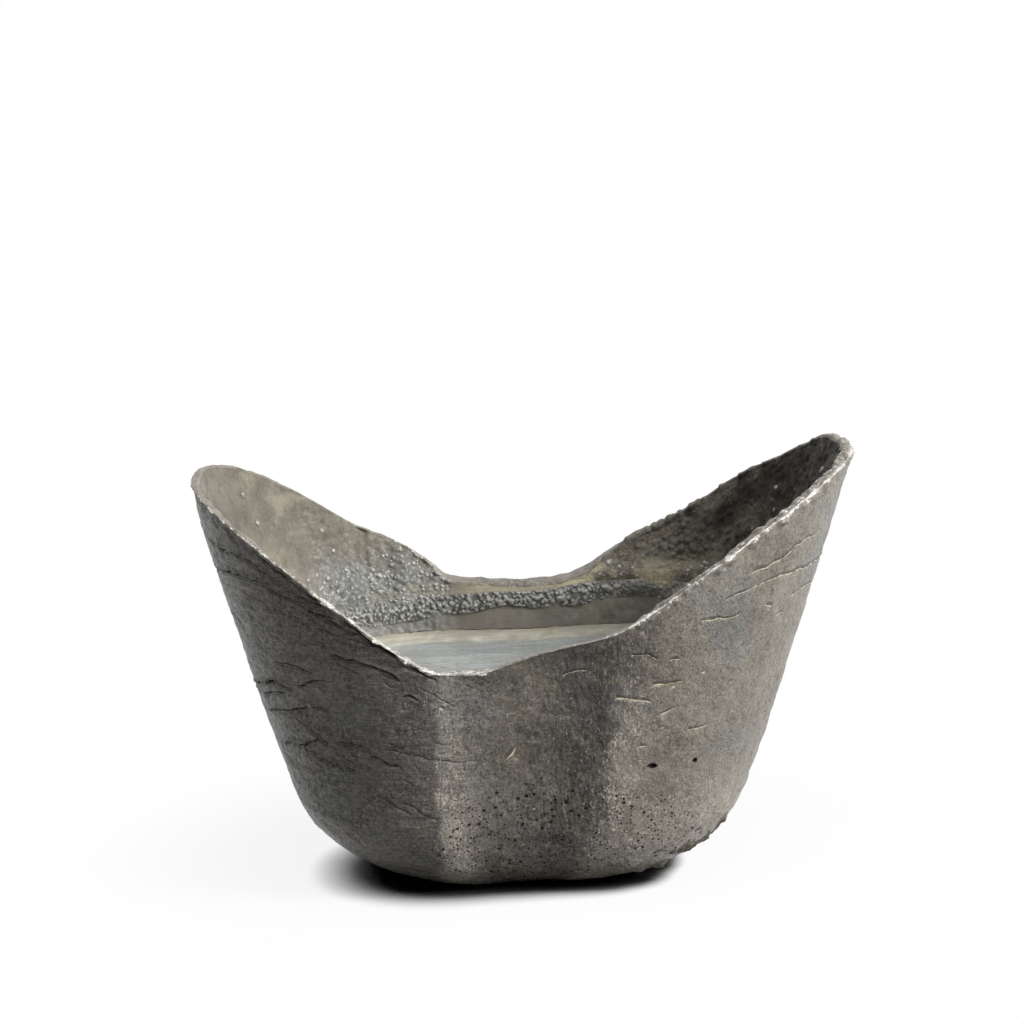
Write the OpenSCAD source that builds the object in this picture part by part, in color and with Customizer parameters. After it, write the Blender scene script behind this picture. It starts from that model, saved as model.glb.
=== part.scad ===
// Silver sycee ingot: a cast boat with two raised ears, a drawn-in waist and a shallow floor.
// The metal is split where it froze at different moments: block, floor, walls and droplets.
// Millimetres, +X along the boat to the right ear, +Z up, origin at the centre of the foot.

/* [Overall] */
// Length over the tips of the two ears
length = 119; // [105:1:140]
// How far the middle of that length lies to the right of the foot's centre
tip_shift = 1.2; // [-4:0.1:4]
// Width over the four corners of the waist, at their mean height
width = 78.5; // [70:0.5:88]
// Height of the tip of the left ear above the foot
left_ear_h = 74.5; // [66:0.5:86]
// Height of the tip of the right ear above the foot
right_ear_h = 75.5; // [66:0.5:86]

/* [Waist rim] */
// Rim height at the front left corner of the waist
front_left_h = 43.5; // [41:0.5:52]
// Rim height at the front right corner of the waist
front_right_h = 49; // [41:0.5:54]
// Rim height at the back left corner of the waist
back_left_h = 45.5; // [41:0.5:52]
// Rim height at the back right corner of the waist
back_right_h = 47; // [41:0.5:54]
// Distance between the corners of the waist, along the boat
waist_l = 29; // [20:1:40]
// Depth of the hollow in each waist panel, between its corners
waist_hollow = 1.5; // [0.5:0.1:4]

/* [Outer walls] */
// Length of the body at the hips, where the walls start to round in to the foot
hip_l = 81.5; // [72:0.5:90]
// Width of the body at the hips
hip_w = 63; // [54:0.5:68]
// How far the end wall of the left ear swells out past a straight slope
left_swell = 1.7; // [0:0.1:3]
// Fullness of the rounded ends: 2 is an ellipse, more is squarer
end_fullness = 2.3; // [1.9:0.05:2.8]
// Curve of the rim as it climbs an ear: 1 is straight, more starts slower
ear_climb = 1.22; // [0.9:0.02:1.6]
// How much the rim flattens out at the tips of the ears
tip_flat = 0.11; // [0:0.01:0.2]

/* [Foot] */
// Length of the flat foot
foot_l = 30.5; // [16:0.5:44]
// Width of the flat foot
foot_w = 26; // [14:0.5:36]
// Height of the hips, over which the foot is rounded
foot_round_h = 16; // [8:0.5:22]

/* [Inside] */
// Height of the floor above the foot
floor_h = 35.5; // [32:0.5:36.5]
// Thickness of the floor's metal, which froze last
pool_t = 5; // [2:0.5:7]
// Width of the sloped ledge round the floor
ledge_w = 3; // [1.5:0.1:5]
// Rise of the ledge from the floor to the wall
ledge_rise = 1.8; // [0.6:0.1:2.2]
// Thickness of the wall where it meets the ledge
basin_wall_t = 4.5; // [3.6:0.1:6]
// Thickness of the wall at the inner shelf
shelf_t = 5.4; // [4.8:0.1:7]
// Drop from the waist rim to the inner shelf
shelf_drop = 1.6; // [1.4:0.1:2.2]

/* [Rim] */
// Width of the rim's flat top at the waist
lip_t = 4.6; // [3:0.1:4.7]
// Thickness of an ear's wall where it springs from the shelf
ear_root_t = 3.4; // [2.6:0.1:4.4]
// Thickness of the rim at the tips of the ears
ear_t = 2.4; // [1.6:0.1:3]
// Drop of the rim's top towards the inside
rim_drop = 0.7; // [0.2:0.1:0.9]

/* [Droplets] */
// Height of the grainy band under the shelf
collar_h = 3.2; // [1.5:0.1:3.6]
// Greatest thickness of the grainy band
collar_t = 1.3; // [0.8:0.1:2]
// Number of lumps round the grainy band
collar_lumps = 31; // [12:1:40]
// Diameter of the largest droplet on the ears
bead_d = 1.7; // [1:0.1:2.4]
// Diameter of the smallest droplet on the ears
small_bead_d = 0.9; // [0.6:0.1:1]
// Number of droplets on each ear
beads_per_ear = 16; // [4:1:24]

/* [Crust] */
// Greatest thickness of the mould crust on the foot
crust_t = 1.1; // [0.8:0.1:2]

/* [Hidden] */

TARNISH = [0.33, 0.32, 0.31];
DARK_SILVER = [0.27, 0.27, 0.27];
FLOOR_GREY = [0.50, 0.53, 0.55];
PALE_LEDGE = [0.62, 0.60, 0.54];
DROPLET = [0.66, 0.66, 0.65];
SLAG = [0.22, 0.16, 0.11];

// Steps round an ear, along a waist panel and up the rounded foot
ear_steps = 40;
lip_steps = 12;
foot_steps = 7;
// Steps up the inside of an ear
inner_steps = 2;
// How close to the tips the rim flattens out: more is closer
tip_power = 6;
// How close to the tip the swell of the left ear dies away: more is closer
swell_power = 6;
// Rise of the shelf's own top and share of an ear over which its rim thins
shelf_rise = 0.5;
thin_share = 0.45;
// Thickness of the grainy band and of the crust along their edges
thin_edge = 0.35;
// Gap that keeps a droplet off the facets of its wall
bead_gap = 0.08;
bead_fn = 24;
// Droplets keep this share of the ear's turn and height clear at each edge
bead_margin = 0.16;
// Shares of a turn that spread the droplets evenly
turn_step = 0.755;
climb_step = 0.57;
// The crust covers these steps of the right ear and of the rounded foot
crust_turn = [2, 18];
crust_rise = [2, 6];

// Derived heights and places
waist_h = (front_left_h + front_right_h + back_left_h + back_right_h) / 4;
block_h = floor_h - pool_t;
ledge_h = floor_h + ledge_rise;
crease_x = waist_l / 2;

// The way round the boat is s, from 0 to 4 anticlockwise from the front right corner:
// the right ear ends at 1, the back panel at 2, the left ear at 3 and the front panel at 4.
RIGHT = 0;
BACK = 1;
LEFT = 2;
FRONT = 3;
function side_of(s) = min(floor(s), FRONT);
function along(s) = s - side_of(s);
function is_ear(s) = side_of(s) == RIGHT || side_of(s) == LEFT;
function facing(s) = side_of(s) < LEFT ? 1 : -1;
function stations(side, steps) = [for (i = [0 : steps]) side + i / steps];
function open_stations(side, steps) = [for (i = [0 : steps - 1]) side + i / steps];
ring = concat(
    open_stations(RIGHT, ear_steps), open_stations(BACK, lip_steps),
    open_stations(LEFT, ear_steps), open_stations(FRONT, lip_steps)
);

function mix(a, b, t) = a + (b - a) * t;
function fraction(t) = t - floor(t);
function reversed(list) = [for (i = [len(list) - 1 : -1 : 0]) list[i]];

// Turn round an ear, from -90 at one crease through 0 at its tip to 90 at the other
function ear_turn(s) = along(s) * 180 - 90;
// How far s lies from the crease towards the tip of its ear, 0 on the panels
function reach(s) = is_ear(s) ? pow(max(cos(ear_turn(s)), 0), 2 / end_fullness) : 0;

// Height and distance from the foot's centre of the tip of the ear that s lies on
function tip_h(s) = side_of(s) == LEFT ? left_ear_h : right_ear_h;
function tip_l(s) = length / 2 + facing(s) * tip_shift;

// Half length and half width of the outline at height z: sloped walls, less the foot's rounding
function foot_share(z) = z >= foot_round_h ? 0 : 1 - sqrt(1 - pow(1 - z / foot_round_h, 2));
function rise_to(z, top) = (z - foot_round_h) / (top - foot_round_h);
function swell(s, rise) =
    side_of(s) == LEFT ? left_swell * pow(reach(s), 2) * (1 - pow(max(rise, 0), swell_power)) : 0;
function sloped_half_l(s, rise) = mix(hip_l / 2, tip_l(s), rise) + swell(s, rise);
function wall_half_l(s, z) = sloped_half_l(s, rise_to(z, tip_h(s)));
function wall_half_w(z) = mix(hip_w / 2, width / 2, rise_to(z, waist_h));
function half_l(s, z) = wall_half_l(s, z) - (wall_half_l(s, 0) - foot_l / 2) * foot_share(z);
function half_w(z) = wall_half_w(z) - (wall_half_w(0) - foot_w / 2) * foot_share(z);
// The creases draw in with the rounded foot
function draw_in(z) = mix(1, foot_l / hip_l, foot_share(z));

// Point on the outline at height z, d inside the outer wall
function spot(s, z, d) = is_ear(s) ? ear_spot(s, z, d) : panel_spot(s, z, d);
function ear_spot(s, z, d) =
    let (crease = crease_x * draw_in(z))
    let (turn = ear_turn(s))
    let (across = sign(turn) * pow(abs(sin(turn)), 2 / end_fullness))
    [
        facing(s) * (crease + (half_l(s, z) - d - crease) * reach(s)),
        facing(s) * (half_w(z) - d) * across,
        z
    ];
function panel_spot(s, z, d) =
    let (run = 1 - 2 * along(s))
    let (hollow = waist_hollow * draw_in(z) * (1 - run * run))
    [
        facing(s) * crease_x * draw_in(z) * run,
        facing(s) * (half_w(z) - d - hollow),
        z
    ];

// Rim: the waist corners' heights are carried round the ears, which climb from them
function corner_h(s) =
    side_of(s) == RIGHT ? mix(front_right_h, back_right_h, along(s)) :
    side_of(s) == BACK ? mix(back_right_h, back_left_h, along(s)) :
    side_of(s) == LEFT ? mix(back_left_h, front_left_h, along(s)) :
    mix(front_left_h, front_right_h, along(s));
function climb(r) = mix(pow(r, ear_climb), pow(r, tip_power), -tip_flat);
function rim_h(s) = mix(corner_h(s), tip_h(s), climb(reach(s)));
function thinning(s) = min(1, reach(s) / thin_share);
function rim_t(s) = mix(lip_t, ear_t, thinning(s));
function root_t(s) = mix(lip_t, ear_root_t, thinning(s));

// Heights and wall thicknesses inside, under the shelf
function shelf_h(s) = corner_h(s) - shelf_drop;
function collar_low_h(s) = max(shelf_h(s) - collar_h, ledge_h + thin_edge);
function collar_z(s, t) = mix(collar_low_h(s), shelf_h(s), t);
function collar_seat_d(t) = mix(mix(basin_wall_t, shelf_t, 0.5), shelf_t, t);
function collar_seat(s, t, d) = spot(s, collar_z(s, t), collar_seat_d(t) + d);

// Inside of the wall: the basin's upright seat, the collar's seat, and the ear above the shelf
function basin_point(s, z) =
    let (p = spot(s, ledge_h, basin_wall_t))
    [p.x, p.y, z];
function floor_point(s, z) =
    let (p = spot(s, ledge_h, basin_wall_t + ledge_w))
    [p.x, p.y, z];
function ear_wall(s, t) = spot(
    s, mix(shelf_h(s) + shelf_rise, rim_h(s) - rim_drop, t), mix(root_t(s), rim_t(s), t)
);
function inner_points(s) = concat(
    [basin_point(s, block_h), basin_point(s, ledge_h)],
    [for (t = [0, 0.5, 1]) collar_seat(s, t, 0)],
    [for (i = [0 : inner_steps]) ear_wall(s, i / inner_steps)]
);
// Outside of the wall: a point level with each inner one, and the rim's edge over the last
function outer_points(s) =
    let (inner = inner_points(s))
    let (levels = [for (j = [0 : len(inner) - 2]) inner[j].z])
    [for (z = concat(levels, [rim_h(s)])) spot(s, z, 0)];

// Solid through a row of sections with equal numbers of points, either joined up or capped.
// The diagonal of each face runs up or down, so that touching solids share their facets.
// A cap is a strip between the first half of its section's points and the second half.
module loft(sections, joined = false, diagonal_down = false) {
    m = len(sections[0]);
    n = len(sections);
    spans = joined ? n : n - 1;
    function at(i, j) = (i % n) * m + j % m;
    up = [for (i = [0 : spans - 1], j = [0 : m - 1], half = [0, 1])
        half == 0 ? [at(i, j), at(i + 1, j + 1), at(i, j + 1)]
            : [at(i, j), at(i + 1, j), at(i + 1, j + 1)]];
    down = [for (i = [0 : spans - 1], j = [0 : m - 1], half = [0, 1])
        half == 0 ? [at(i, j), at(i + 1, j), at(i, j + 1)]
            : [at(i + 1, j), at(i + 1, j + 1), at(i, j + 1)]];
    first = [for (j = [0 : m / 2 - 2], half = [0, 1])
        half == 0 ? [at(0, j), at(0, j + 1), at(0, m - 2 - j)]
            : [at(0, j), at(0, m - 2 - j), at(0, m - 1 - j)]];
    last = [for (triangle = first) [for (k = reversed(triangle)) k + (n - 1) * m]];
    caps = joined ? [] : concat(first, last);
    points = [for (section = sections) each section];
    polyhedron(points, concat(diagonal_down ? down : up, caps), convexity = 6);
}

module wall(side, steps) {
    loft([for (s = stations(side, steps)) concat(inner_points(s), reversed(outer_points(s)))]);
}

function foot_level(i) = foot_round_h * (1 - cos(90 * i / foot_steps));
block_levels = concat([for (i = [0 : foot_steps]) foot_level(i)], [block_h]);

// Heavy lower casting, with the flat foot it stands on
module body_block() {
    color(TARNISH) loft([for (z = block_levels) [for (s = ring) spot(s, z, 0)]]);
}

// Smooth floor, the last metal to freeze
module floor_pool() {
    color(FLOOR_GREY) loft([for (z = [block_h, floor_h]) [for (s = ring) floor_point(s, z)]]);
}

// Pale sloped ledge between the floor and the walls
module floor_ledge() {
    color(PALE_LEDGE) loft([for (s = ring) [
        floor_point(s, block_h), floor_point(s, floor_h),
        basin_point(s, ledge_h), basin_point(s, block_h)
    ]], joined = true);
}

module left_ear() {
    color(TARNISH) wall(LEFT, ear_steps);
}

module right_ear() {
    color(TARNISH) wall(RIGHT, ear_steps);
}

module front_lip() {
    color(TARNISH) wall(FRONT, lip_steps);
}

module back_lip() {
    color(TARNISH) wall(BACK, lip_steps);
}

// Grainy band of chilled droplets round the inside, under the shelf
function collar_bulge(s) = mix(collar_t, collar_t - thin_edge, 0.5 + 0.5 * sin(90 * s * collar_lumps));
module bead_collar() {
    color(DARK_SILVER) loft([for (s = ring) [
        collar_seat(s, 0, thin_edge), collar_seat(s, 0.5, collar_bulge(s)), collar_seat(s, 1, 2 * thin_edge),
        collar_seat(s, 1, 0), collar_seat(s, 0.5, 0), collar_seat(s, 0, 0)
    ]], joined = true, diagonal_down = true);
}

// Droplets that spattered on to the insides of the ears
function inward(s, t) =
    let (nudge = 0.01)
    let (round = ear_wall(s + nudge, t) - ear_wall(s - nudge, t))
    let (rise = ear_wall(s, t + nudge) - ear_wall(s, t - nudge))
    let (out = cross(round, rise))
    -out / norm(out);
function spread(i, step) = mix(bead_margin, 1 - bead_margin, fraction((i + 1) * step));
module spatter_beads() {
    color(DROPLET) for (side = [RIGHT, LEFT], i = [0 : beads_per_ear - 1]) {
        s = side + spread(i, turn_step);
        t = spread(i, climb_step);
        r = mix(small_bead_d, bead_d, fraction(i * turn_step)) / 2;
        translate(ear_wall(s, t) + inward(s, t) * (r + bead_gap)) sphere(r = r, $fn = bead_fn);
    }
}

// Crust of mould sand and slag left on the right end of the foot
function crust_share(i, span) = sin(180 * (i - span[0]) / (span[1] - span[0]));
function crust_d(i, j) =
    -mix(thin_edge, crust_t, crust_share(i, crust_turn) * crust_share(j, crust_rise));
function crust_station(i) = RIGHT + i / ear_steps;
module foot_crust() {
    color(SLAG) loft([for (j = [crust_rise[0] : crust_rise[1]]) concat(
        [for (i = [crust_turn[0] : crust_turn[1]]) spot(crust_station(i), foot_level(j), crust_d(i, j))],
        [for (i = [crust_turn[1] : -1 : crust_turn[0]]) spot(crust_station(i), foot_level(j), 0)]
    )], diagonal_down = true);
}

body_block();
floor_pool();
floor_ledge();
left_ear();
right_ear();
front_lip();
back_lip();
bead_collar();
spatter_beads();
foot_crust();
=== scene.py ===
"""Cast silver boat ingot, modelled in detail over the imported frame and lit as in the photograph.

Shape lengths are in millimetres, as in the part's source, and the meshes are made in metres.
A place round the boat is called s: right ear 0 to 1, back panel 1 to 2, left ear 2 to 3, front panel 3 to 4.
"""
import functools
import itertools
import math

import bmesh
import bpy
import numpy as np
from mathutils import Matrix, Vector


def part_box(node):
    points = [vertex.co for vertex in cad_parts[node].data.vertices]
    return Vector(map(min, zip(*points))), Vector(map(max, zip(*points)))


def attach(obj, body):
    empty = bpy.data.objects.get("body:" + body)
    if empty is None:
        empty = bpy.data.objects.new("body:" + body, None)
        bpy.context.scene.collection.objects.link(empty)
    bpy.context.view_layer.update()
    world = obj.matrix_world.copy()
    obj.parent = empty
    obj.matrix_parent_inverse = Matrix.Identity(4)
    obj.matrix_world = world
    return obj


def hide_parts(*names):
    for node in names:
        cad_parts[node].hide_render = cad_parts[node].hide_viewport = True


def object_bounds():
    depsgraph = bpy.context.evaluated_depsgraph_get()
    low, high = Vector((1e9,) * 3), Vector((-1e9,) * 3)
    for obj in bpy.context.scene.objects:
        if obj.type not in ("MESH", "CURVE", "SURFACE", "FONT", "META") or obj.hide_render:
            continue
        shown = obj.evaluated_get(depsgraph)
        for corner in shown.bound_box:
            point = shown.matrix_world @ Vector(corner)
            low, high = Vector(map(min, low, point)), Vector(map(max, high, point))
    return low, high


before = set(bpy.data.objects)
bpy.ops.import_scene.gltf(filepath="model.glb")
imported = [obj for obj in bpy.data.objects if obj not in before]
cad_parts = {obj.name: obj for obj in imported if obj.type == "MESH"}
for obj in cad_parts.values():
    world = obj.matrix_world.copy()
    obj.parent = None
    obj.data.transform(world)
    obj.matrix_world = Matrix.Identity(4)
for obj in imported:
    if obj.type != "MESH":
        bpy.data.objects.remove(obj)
cad_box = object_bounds()

MM = 0.001
RIGHT, BACK, LEFT, FRONT = range(4)
rng = np.random.default_rng(1868)


# Sizes that the frame gives
def node_box(name):
    low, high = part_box(name)
    return np.array(low) / MM, np.array(high) / MM


LEFT_LOW, LEFT_HIGH = node_box("left_ear")
RIGHT_HIGH = node_box("right_ear")[1]
LEFT_TIP_L = -LEFT_LOW[0]
LEFT_TIP_H = LEFT_HIGH[2]
RIGHT_TIP_L = RIGHT_HIGH[0]
RIGHT_TIP_H = RIGHT_HIGH[2]
CREASE_X = node_box("front_lip")[1][0]
BLOCK_H = node_box("body_block")[1][2]
FLOOR_H = node_box("floor_pool")[1][2]
LEDGE_H = node_box("floor_ledge")[1][2]

# Sizes that it doesn't, as in the part's source
CORNER_H = np.array([49.0, 47.0, 45.5, 43.5])
WAIST_H = CORNER_H.mean()
WIDTH = 78.5
WAIST_HOLLOW = 1.5
HIP_L = 81.5
HIP_W = 63.0
FOOT_L = 30.5
FOOT_W = 26.0
FOOT_ROUND_H = 16.0
FULLNESS = 2.3
EAR_CLIMB = 1.22
TIP_FLAT = 0.11
TIP_POWER = 6
LEFT_SWELL = 1.7
SWELL_POWER = 6
LEDGE_W = 3.0
BASIN_WALL_T = 4.5
SHELF_T = 5.4
SHELF_DROP = 1.6
SHELF_RISE = 0.5
LIP_T = 4.6
EAR_ROOT_T = 3.4
THIN_SHARE = 0.45
COLLAR_H = 3.2
COLLAR_T = 1.3
COLLAR_EDGE = 0.35
BEADS_PER_EAR = 16
BEAD_D = (0.9, 1.7)
BEAD_MARGIN = 0.16
BEAD_STEPS = (0.755, 0.57)
CRUST_T = 1.1
CRUST_SPAN = (0.05, 0.45)
CRUST_HEIGHTS = (1.6, 12.4)

# Grid of the casting's skin
EAR_COLUMNS = 400
FRONT_COLUMNS = 130
BACK_COLUMNS = 90
FRONT_DENSITY = 1.15
ARC_STEPS = 2001
RING_ROWS = 16
RING_START = 0.04
ROUND_ROWS = 60
COARSE_ROWS = 46
STRAIGHT_ROWS = 38
OUTER_ROWS = 124
RIM_ROWS = 12
INNER_ROWS = 76
SHELF_ROWS = 6
SEAT_ROWS = 4
BASIN_ROWS = 14
CREASE_SOFTNESS = 3
RIM_SOFTNESS = 4
RIM_SOFT_PARTS = 280

# Rises and dips of the hand-cast rim: place, millimetres
RIM_SHAPE = [
    (0.0, 0.2), (0.3, 0.0), (0.5, 0.0), (0.6, -0.2), (0.64, -0.9), (0.71, -2.0), (0.77, -1.2), (0.83, -1.6),
    (0.887, -0.6), (0.92, 0.6), (0.95, 1.8), (0.977, 2.4), (1.0, 2.0), (1.1, 0.5), (1.25, -0.4), (1.5, -0.5),
    (1.8, 0.6), (2.0, 1.3), (2.023, 2.8), (2.053, 2.8), (2.08, 2.0), (2.105, 0.9), (2.135, -0.3),
    (2.23, -0.3), (2.35, -0.1), (2.5, 0.0), (2.95, 0.0), (3.0, 0.7), (3.15, -0.3), (3.3, -1.4), (3.42, -1.0),
    (3.6, -0.3), (3.8, 0.0), (4.0, 0.2),
]
RAGGED_H = 0.09
# Thickness, inward slope and polish of the rim round the boat
RIM_T = [
    (0.0, 4.4), (0.1, 2.5), (0.45, 2.0), (0.55, 1.4), (0.92, 1.6), (1.0, 4.2), (2.0, 4.2), (2.08, 1.9),
    (2.2, 1.2), (2.85, 1.2), (2.95, 2.4), (3.0, 4.4), (4.0, 4.4),
]
RIM_T_SWING = 0.22
RIM_SLOPE = [
    (0.0, 0.5), (0.4, 0.5), (0.55, 0.0), (0.95, -0.1), (1.05, 0.6), (1.95, 0.6), (2.05, 0.0), (2.45, -0.1),
    (2.6, 0.4), (3.0, 0.6), (4.0, 0.5),
]
RIM_POLISH = [
    (0.0, 0.5), (0.03, 0.6), (0.45, 0.75), (0.52, 0.6), (0.6, 0.15), (0.95, 0.1), (2.0, 0.2), (2.02, 0.8),
    (2.1, 0.6), (2.15, 0.2), (2.45, 0.15), (2.55, 0.25), (2.85, 0.4), (3.0, 0.95), (3.28, 1.0), (3.35, 0.4),
    (3.7, 0.25), (4.0, 0.5),
]
RIM_LINE_W = (0.08, 0.55)
# How far the rim's brown lip hangs over the outside
RIM_LIP = [
    (0.0, 0.3), (0.06, 1.1), (0.45, 1.3), (0.52, 0.8), (0.6, 0.2), (2.0, 0.3), (2.5, 0.3), (2.6, 0.8),
    (2.95, 1.0), (3.28, 0.9), (3.35, 0.4), (4.0, 0.3),
]
LIP_HANG = 0.22
EDGE_R = 0.35
RIM_SQUARE = 0.4
RIM_GAP = 0.05
BOX_GAP = 0.02
ROOT_GAP = 0.1
ROUGH_ROWS = (8, 3)
SEAM_DROP = 1.3
SEAM_DEPTH = 0.25

# Waves and grain of the mould on the outside: height, its change on the calm left, lump size, octaves, seed
SKIN_LAYERS = [
    (0.12, 0, 22, 2, 11),
    (0.13, -0.07, 5, 2, 12),
    (0.06, -0.02, 1.4, 3, 13),
    (0, 0.07, (9, 9, 1.4), 3, 14),
]
END_DENT_AT = (46, 14)
END_DENT_R = (9, 8)
END_DENT_DEPTH = 0.8

# Hollow of the front panel, from its left crease to a slanting ridge: across, up
HOLLOW_LEFT_X = -15.5
RIDGE = [(10.0, 0.0), (12.0, 9.0), (13.5, 19.0), (16.0, 30.0), (20.0, 39.5), (22.0, 46.5)]
HOLLOW_DEPTH = 1.6

# Laps where metal froze over metal on the front: depth, then places across and up
LAPS = [
    (0.5, [(-57.5, 67), (-46, 63.5), (-39, 58.5), (-32.5, 56)]),
    (0.6, [(-56, 58), (-50, 60), (-44.5, 59.5), (-37.5, 56.5), (-30.5, 53), (-25.5, 50), (-20.5, 46.5)]),
    (0.4, [(-43.5, 44.5), (-39, 44.5), (-35.5, 43.5)]),
    (0.9, [(-48.5, 37), (-43.5, 40.5), (-40, 40)]),
    (0.6, [(-48, 36.5), (-41.5, 38.5)]),
    (0.5, [(-39.5, 40.5), (-36.5, 42), (-34, 42)]),
    (0.6, [(-33, 47.5), (-29, 46.5), (-25.5, 45.5), (-23, 44), (-20.5, 42.5)]),
    (0.6, [(-45.5, 34), (-41, 35.5), (-38, 37), (-33.5, 36.5)]),
    (0.5, [(-35, 32.5), (-33.5, 31.5)]),
    (0.7, [(-43, 28), (-40.5, 28.5), (-36.5, 30.5), (-34, 30)]),
    (0.6, [(-39, 28.5), (-36.5, 27.5), (-34.5, 26.5), (-29.5, 25.5)]),
    (0.6, [(-33, 30.5), (-30, 30.5), (-28, 30)]),
    (0.6, [(-27.5, 28), (-25.5, 28), (-24, 27), (-21.5, 26.5)]),
    (0.4, [(-21, 39.5), (-19, 39.5), (-17.5, 38.5)]),
]
PALE_LAPS = [
    (0.4, [(40, 58.5), (45, 60), (49, 62), (53.5, 63)]),
    (0.6, [(35, 54), (39, 55), (42.5, 56.5), (47.5, 57), (55.5, 56)]),
    (0.4, [(47, 52), (50, 52.5), (54, 51)]),
    (0.3, [(31, 51), (35, 51), (38.5, 51.5)]),
    (0.4, [(42, 52), (44, 51.5)]),
    (0.4, [(44, 49), (46.5, 49.5)]),
    (0.5, [(18, 45.5), (21.5, 45.5), (23.5, 44.5)]),
    (0.4, [(25, 44.5), (28, 45)]),
    (0.4, [(15.5, 38), (18, 38), (20, 37.5), (23, 36.5)]),
    (0.5, [(6.5, 41.5), (9, 42.5), (11.5, 42.5)]),
    (0.3, [(-3.5, 26), (-2, 27.5), (-1, 29)]),
    (0.4, [(-15, 38), (-13.5, 36.5)]),
]
PALE_DEPTH = 0.5
LAP_W = 0.25
LAP_LIP_W = 0.4
LAP_LIP_SHARE = 0.3
LAP_WANDER = 0.3
LAP_REACH = 1.0
LAP_END_L = 1.5
LAP_BREAKS = (-1.4, -0.8)
LAP_FADE = (0.5, 0.9)
FAR_EDGE = 9.0

# Small laps, scattered all round, with their kind, length and slope on the left and on the right
SMALL_LAPS = 420
SMALL_LAP_KINDS = [("dark", 2.4, -0.35), ("pale", 0.9, 0.2)]
SMALL_LAP_HEIGHTS = (20, 66)
SMALL_LAP_DEPTH = (0.05, 0.2)
SLOPE_SPREAD = 0.15
BEND_SPREAD = 0.3
SKIPPED_ON_RIGHT = 0.75

# Fillet over the shelf at the back right, and the place of the grainy corner
FILLET_H = 3.5
FILLET_T = 1.6
GRAINY_PLACE = 2.12
GRAINY_FADE = (0.06, 0.2)

# Holes left by gas on the front: across, up, half width, half height, depth
HOLES = [(22.1, 24.8, 1.15, 0.5, 1.2), (29.5, 24.7, 0.6, 0.6, 0.9)]
DIMPLE = (-22, 33.5, 1.4, 1.4, 0.35)
HOLE_GRID = 0.2
HOLE_CLEAR = 9
PITS = 40
PIT_X = 3
PIT_SPREAD = 9
PIT_HEIGHTS = (3, 23)
PIT_FALL = 0.12
PIT_LOW = 2
PIT_R = (0.22, 0.4)
PIT_DEPTH = (0.2, 0.5)

# Seeded lattice noise
LATTICE_N = 64
LATTICE = rng.uniform(-1, 1, (LATTICE_N, LATTICE_N, LATTICE_N))
SEED_STEP = 7.31
NOISE_GAIN = 1.5


def noise(points, size, seed=0):
    """Smooth noise from about -1 to 1, with lumps of the given size, a number or one for each axis."""
    place = points / size + SEED_STEP * seed
    cell = np.floor(place).astype(int)
    part = place - cell
    part = part * part * (3 - 2 * part)
    total = np.zeros(points.shape[:-1])
    for corner in itertools.product((0, 1), repeat=3):
        x, y, z = np.moveaxis((cell + corner) % LATTICE_N, -1, 0)
        weight = np.prod(np.where(corner, part, 1 - part), axis=-1)
        total += weight * LATTICE[x, y, z]
    return NOISE_GAIN * total


def fractal(points, size, octaves, seed=0):
    size = np.asarray(size, float)
    return sum(noise(points, size / 2**i, seed + i) / 2**i for i in range(octaves))


def ramp(values, low, high):
    t = np.clip((values - low) / (high - low), 0, 1)
    return t * t * (3 - 2 * t)


def hump(values, middle, half):
    """One at the middle, falling off to both sides."""
    return np.exp(-(((values - middle) / half) ** 2))


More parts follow.
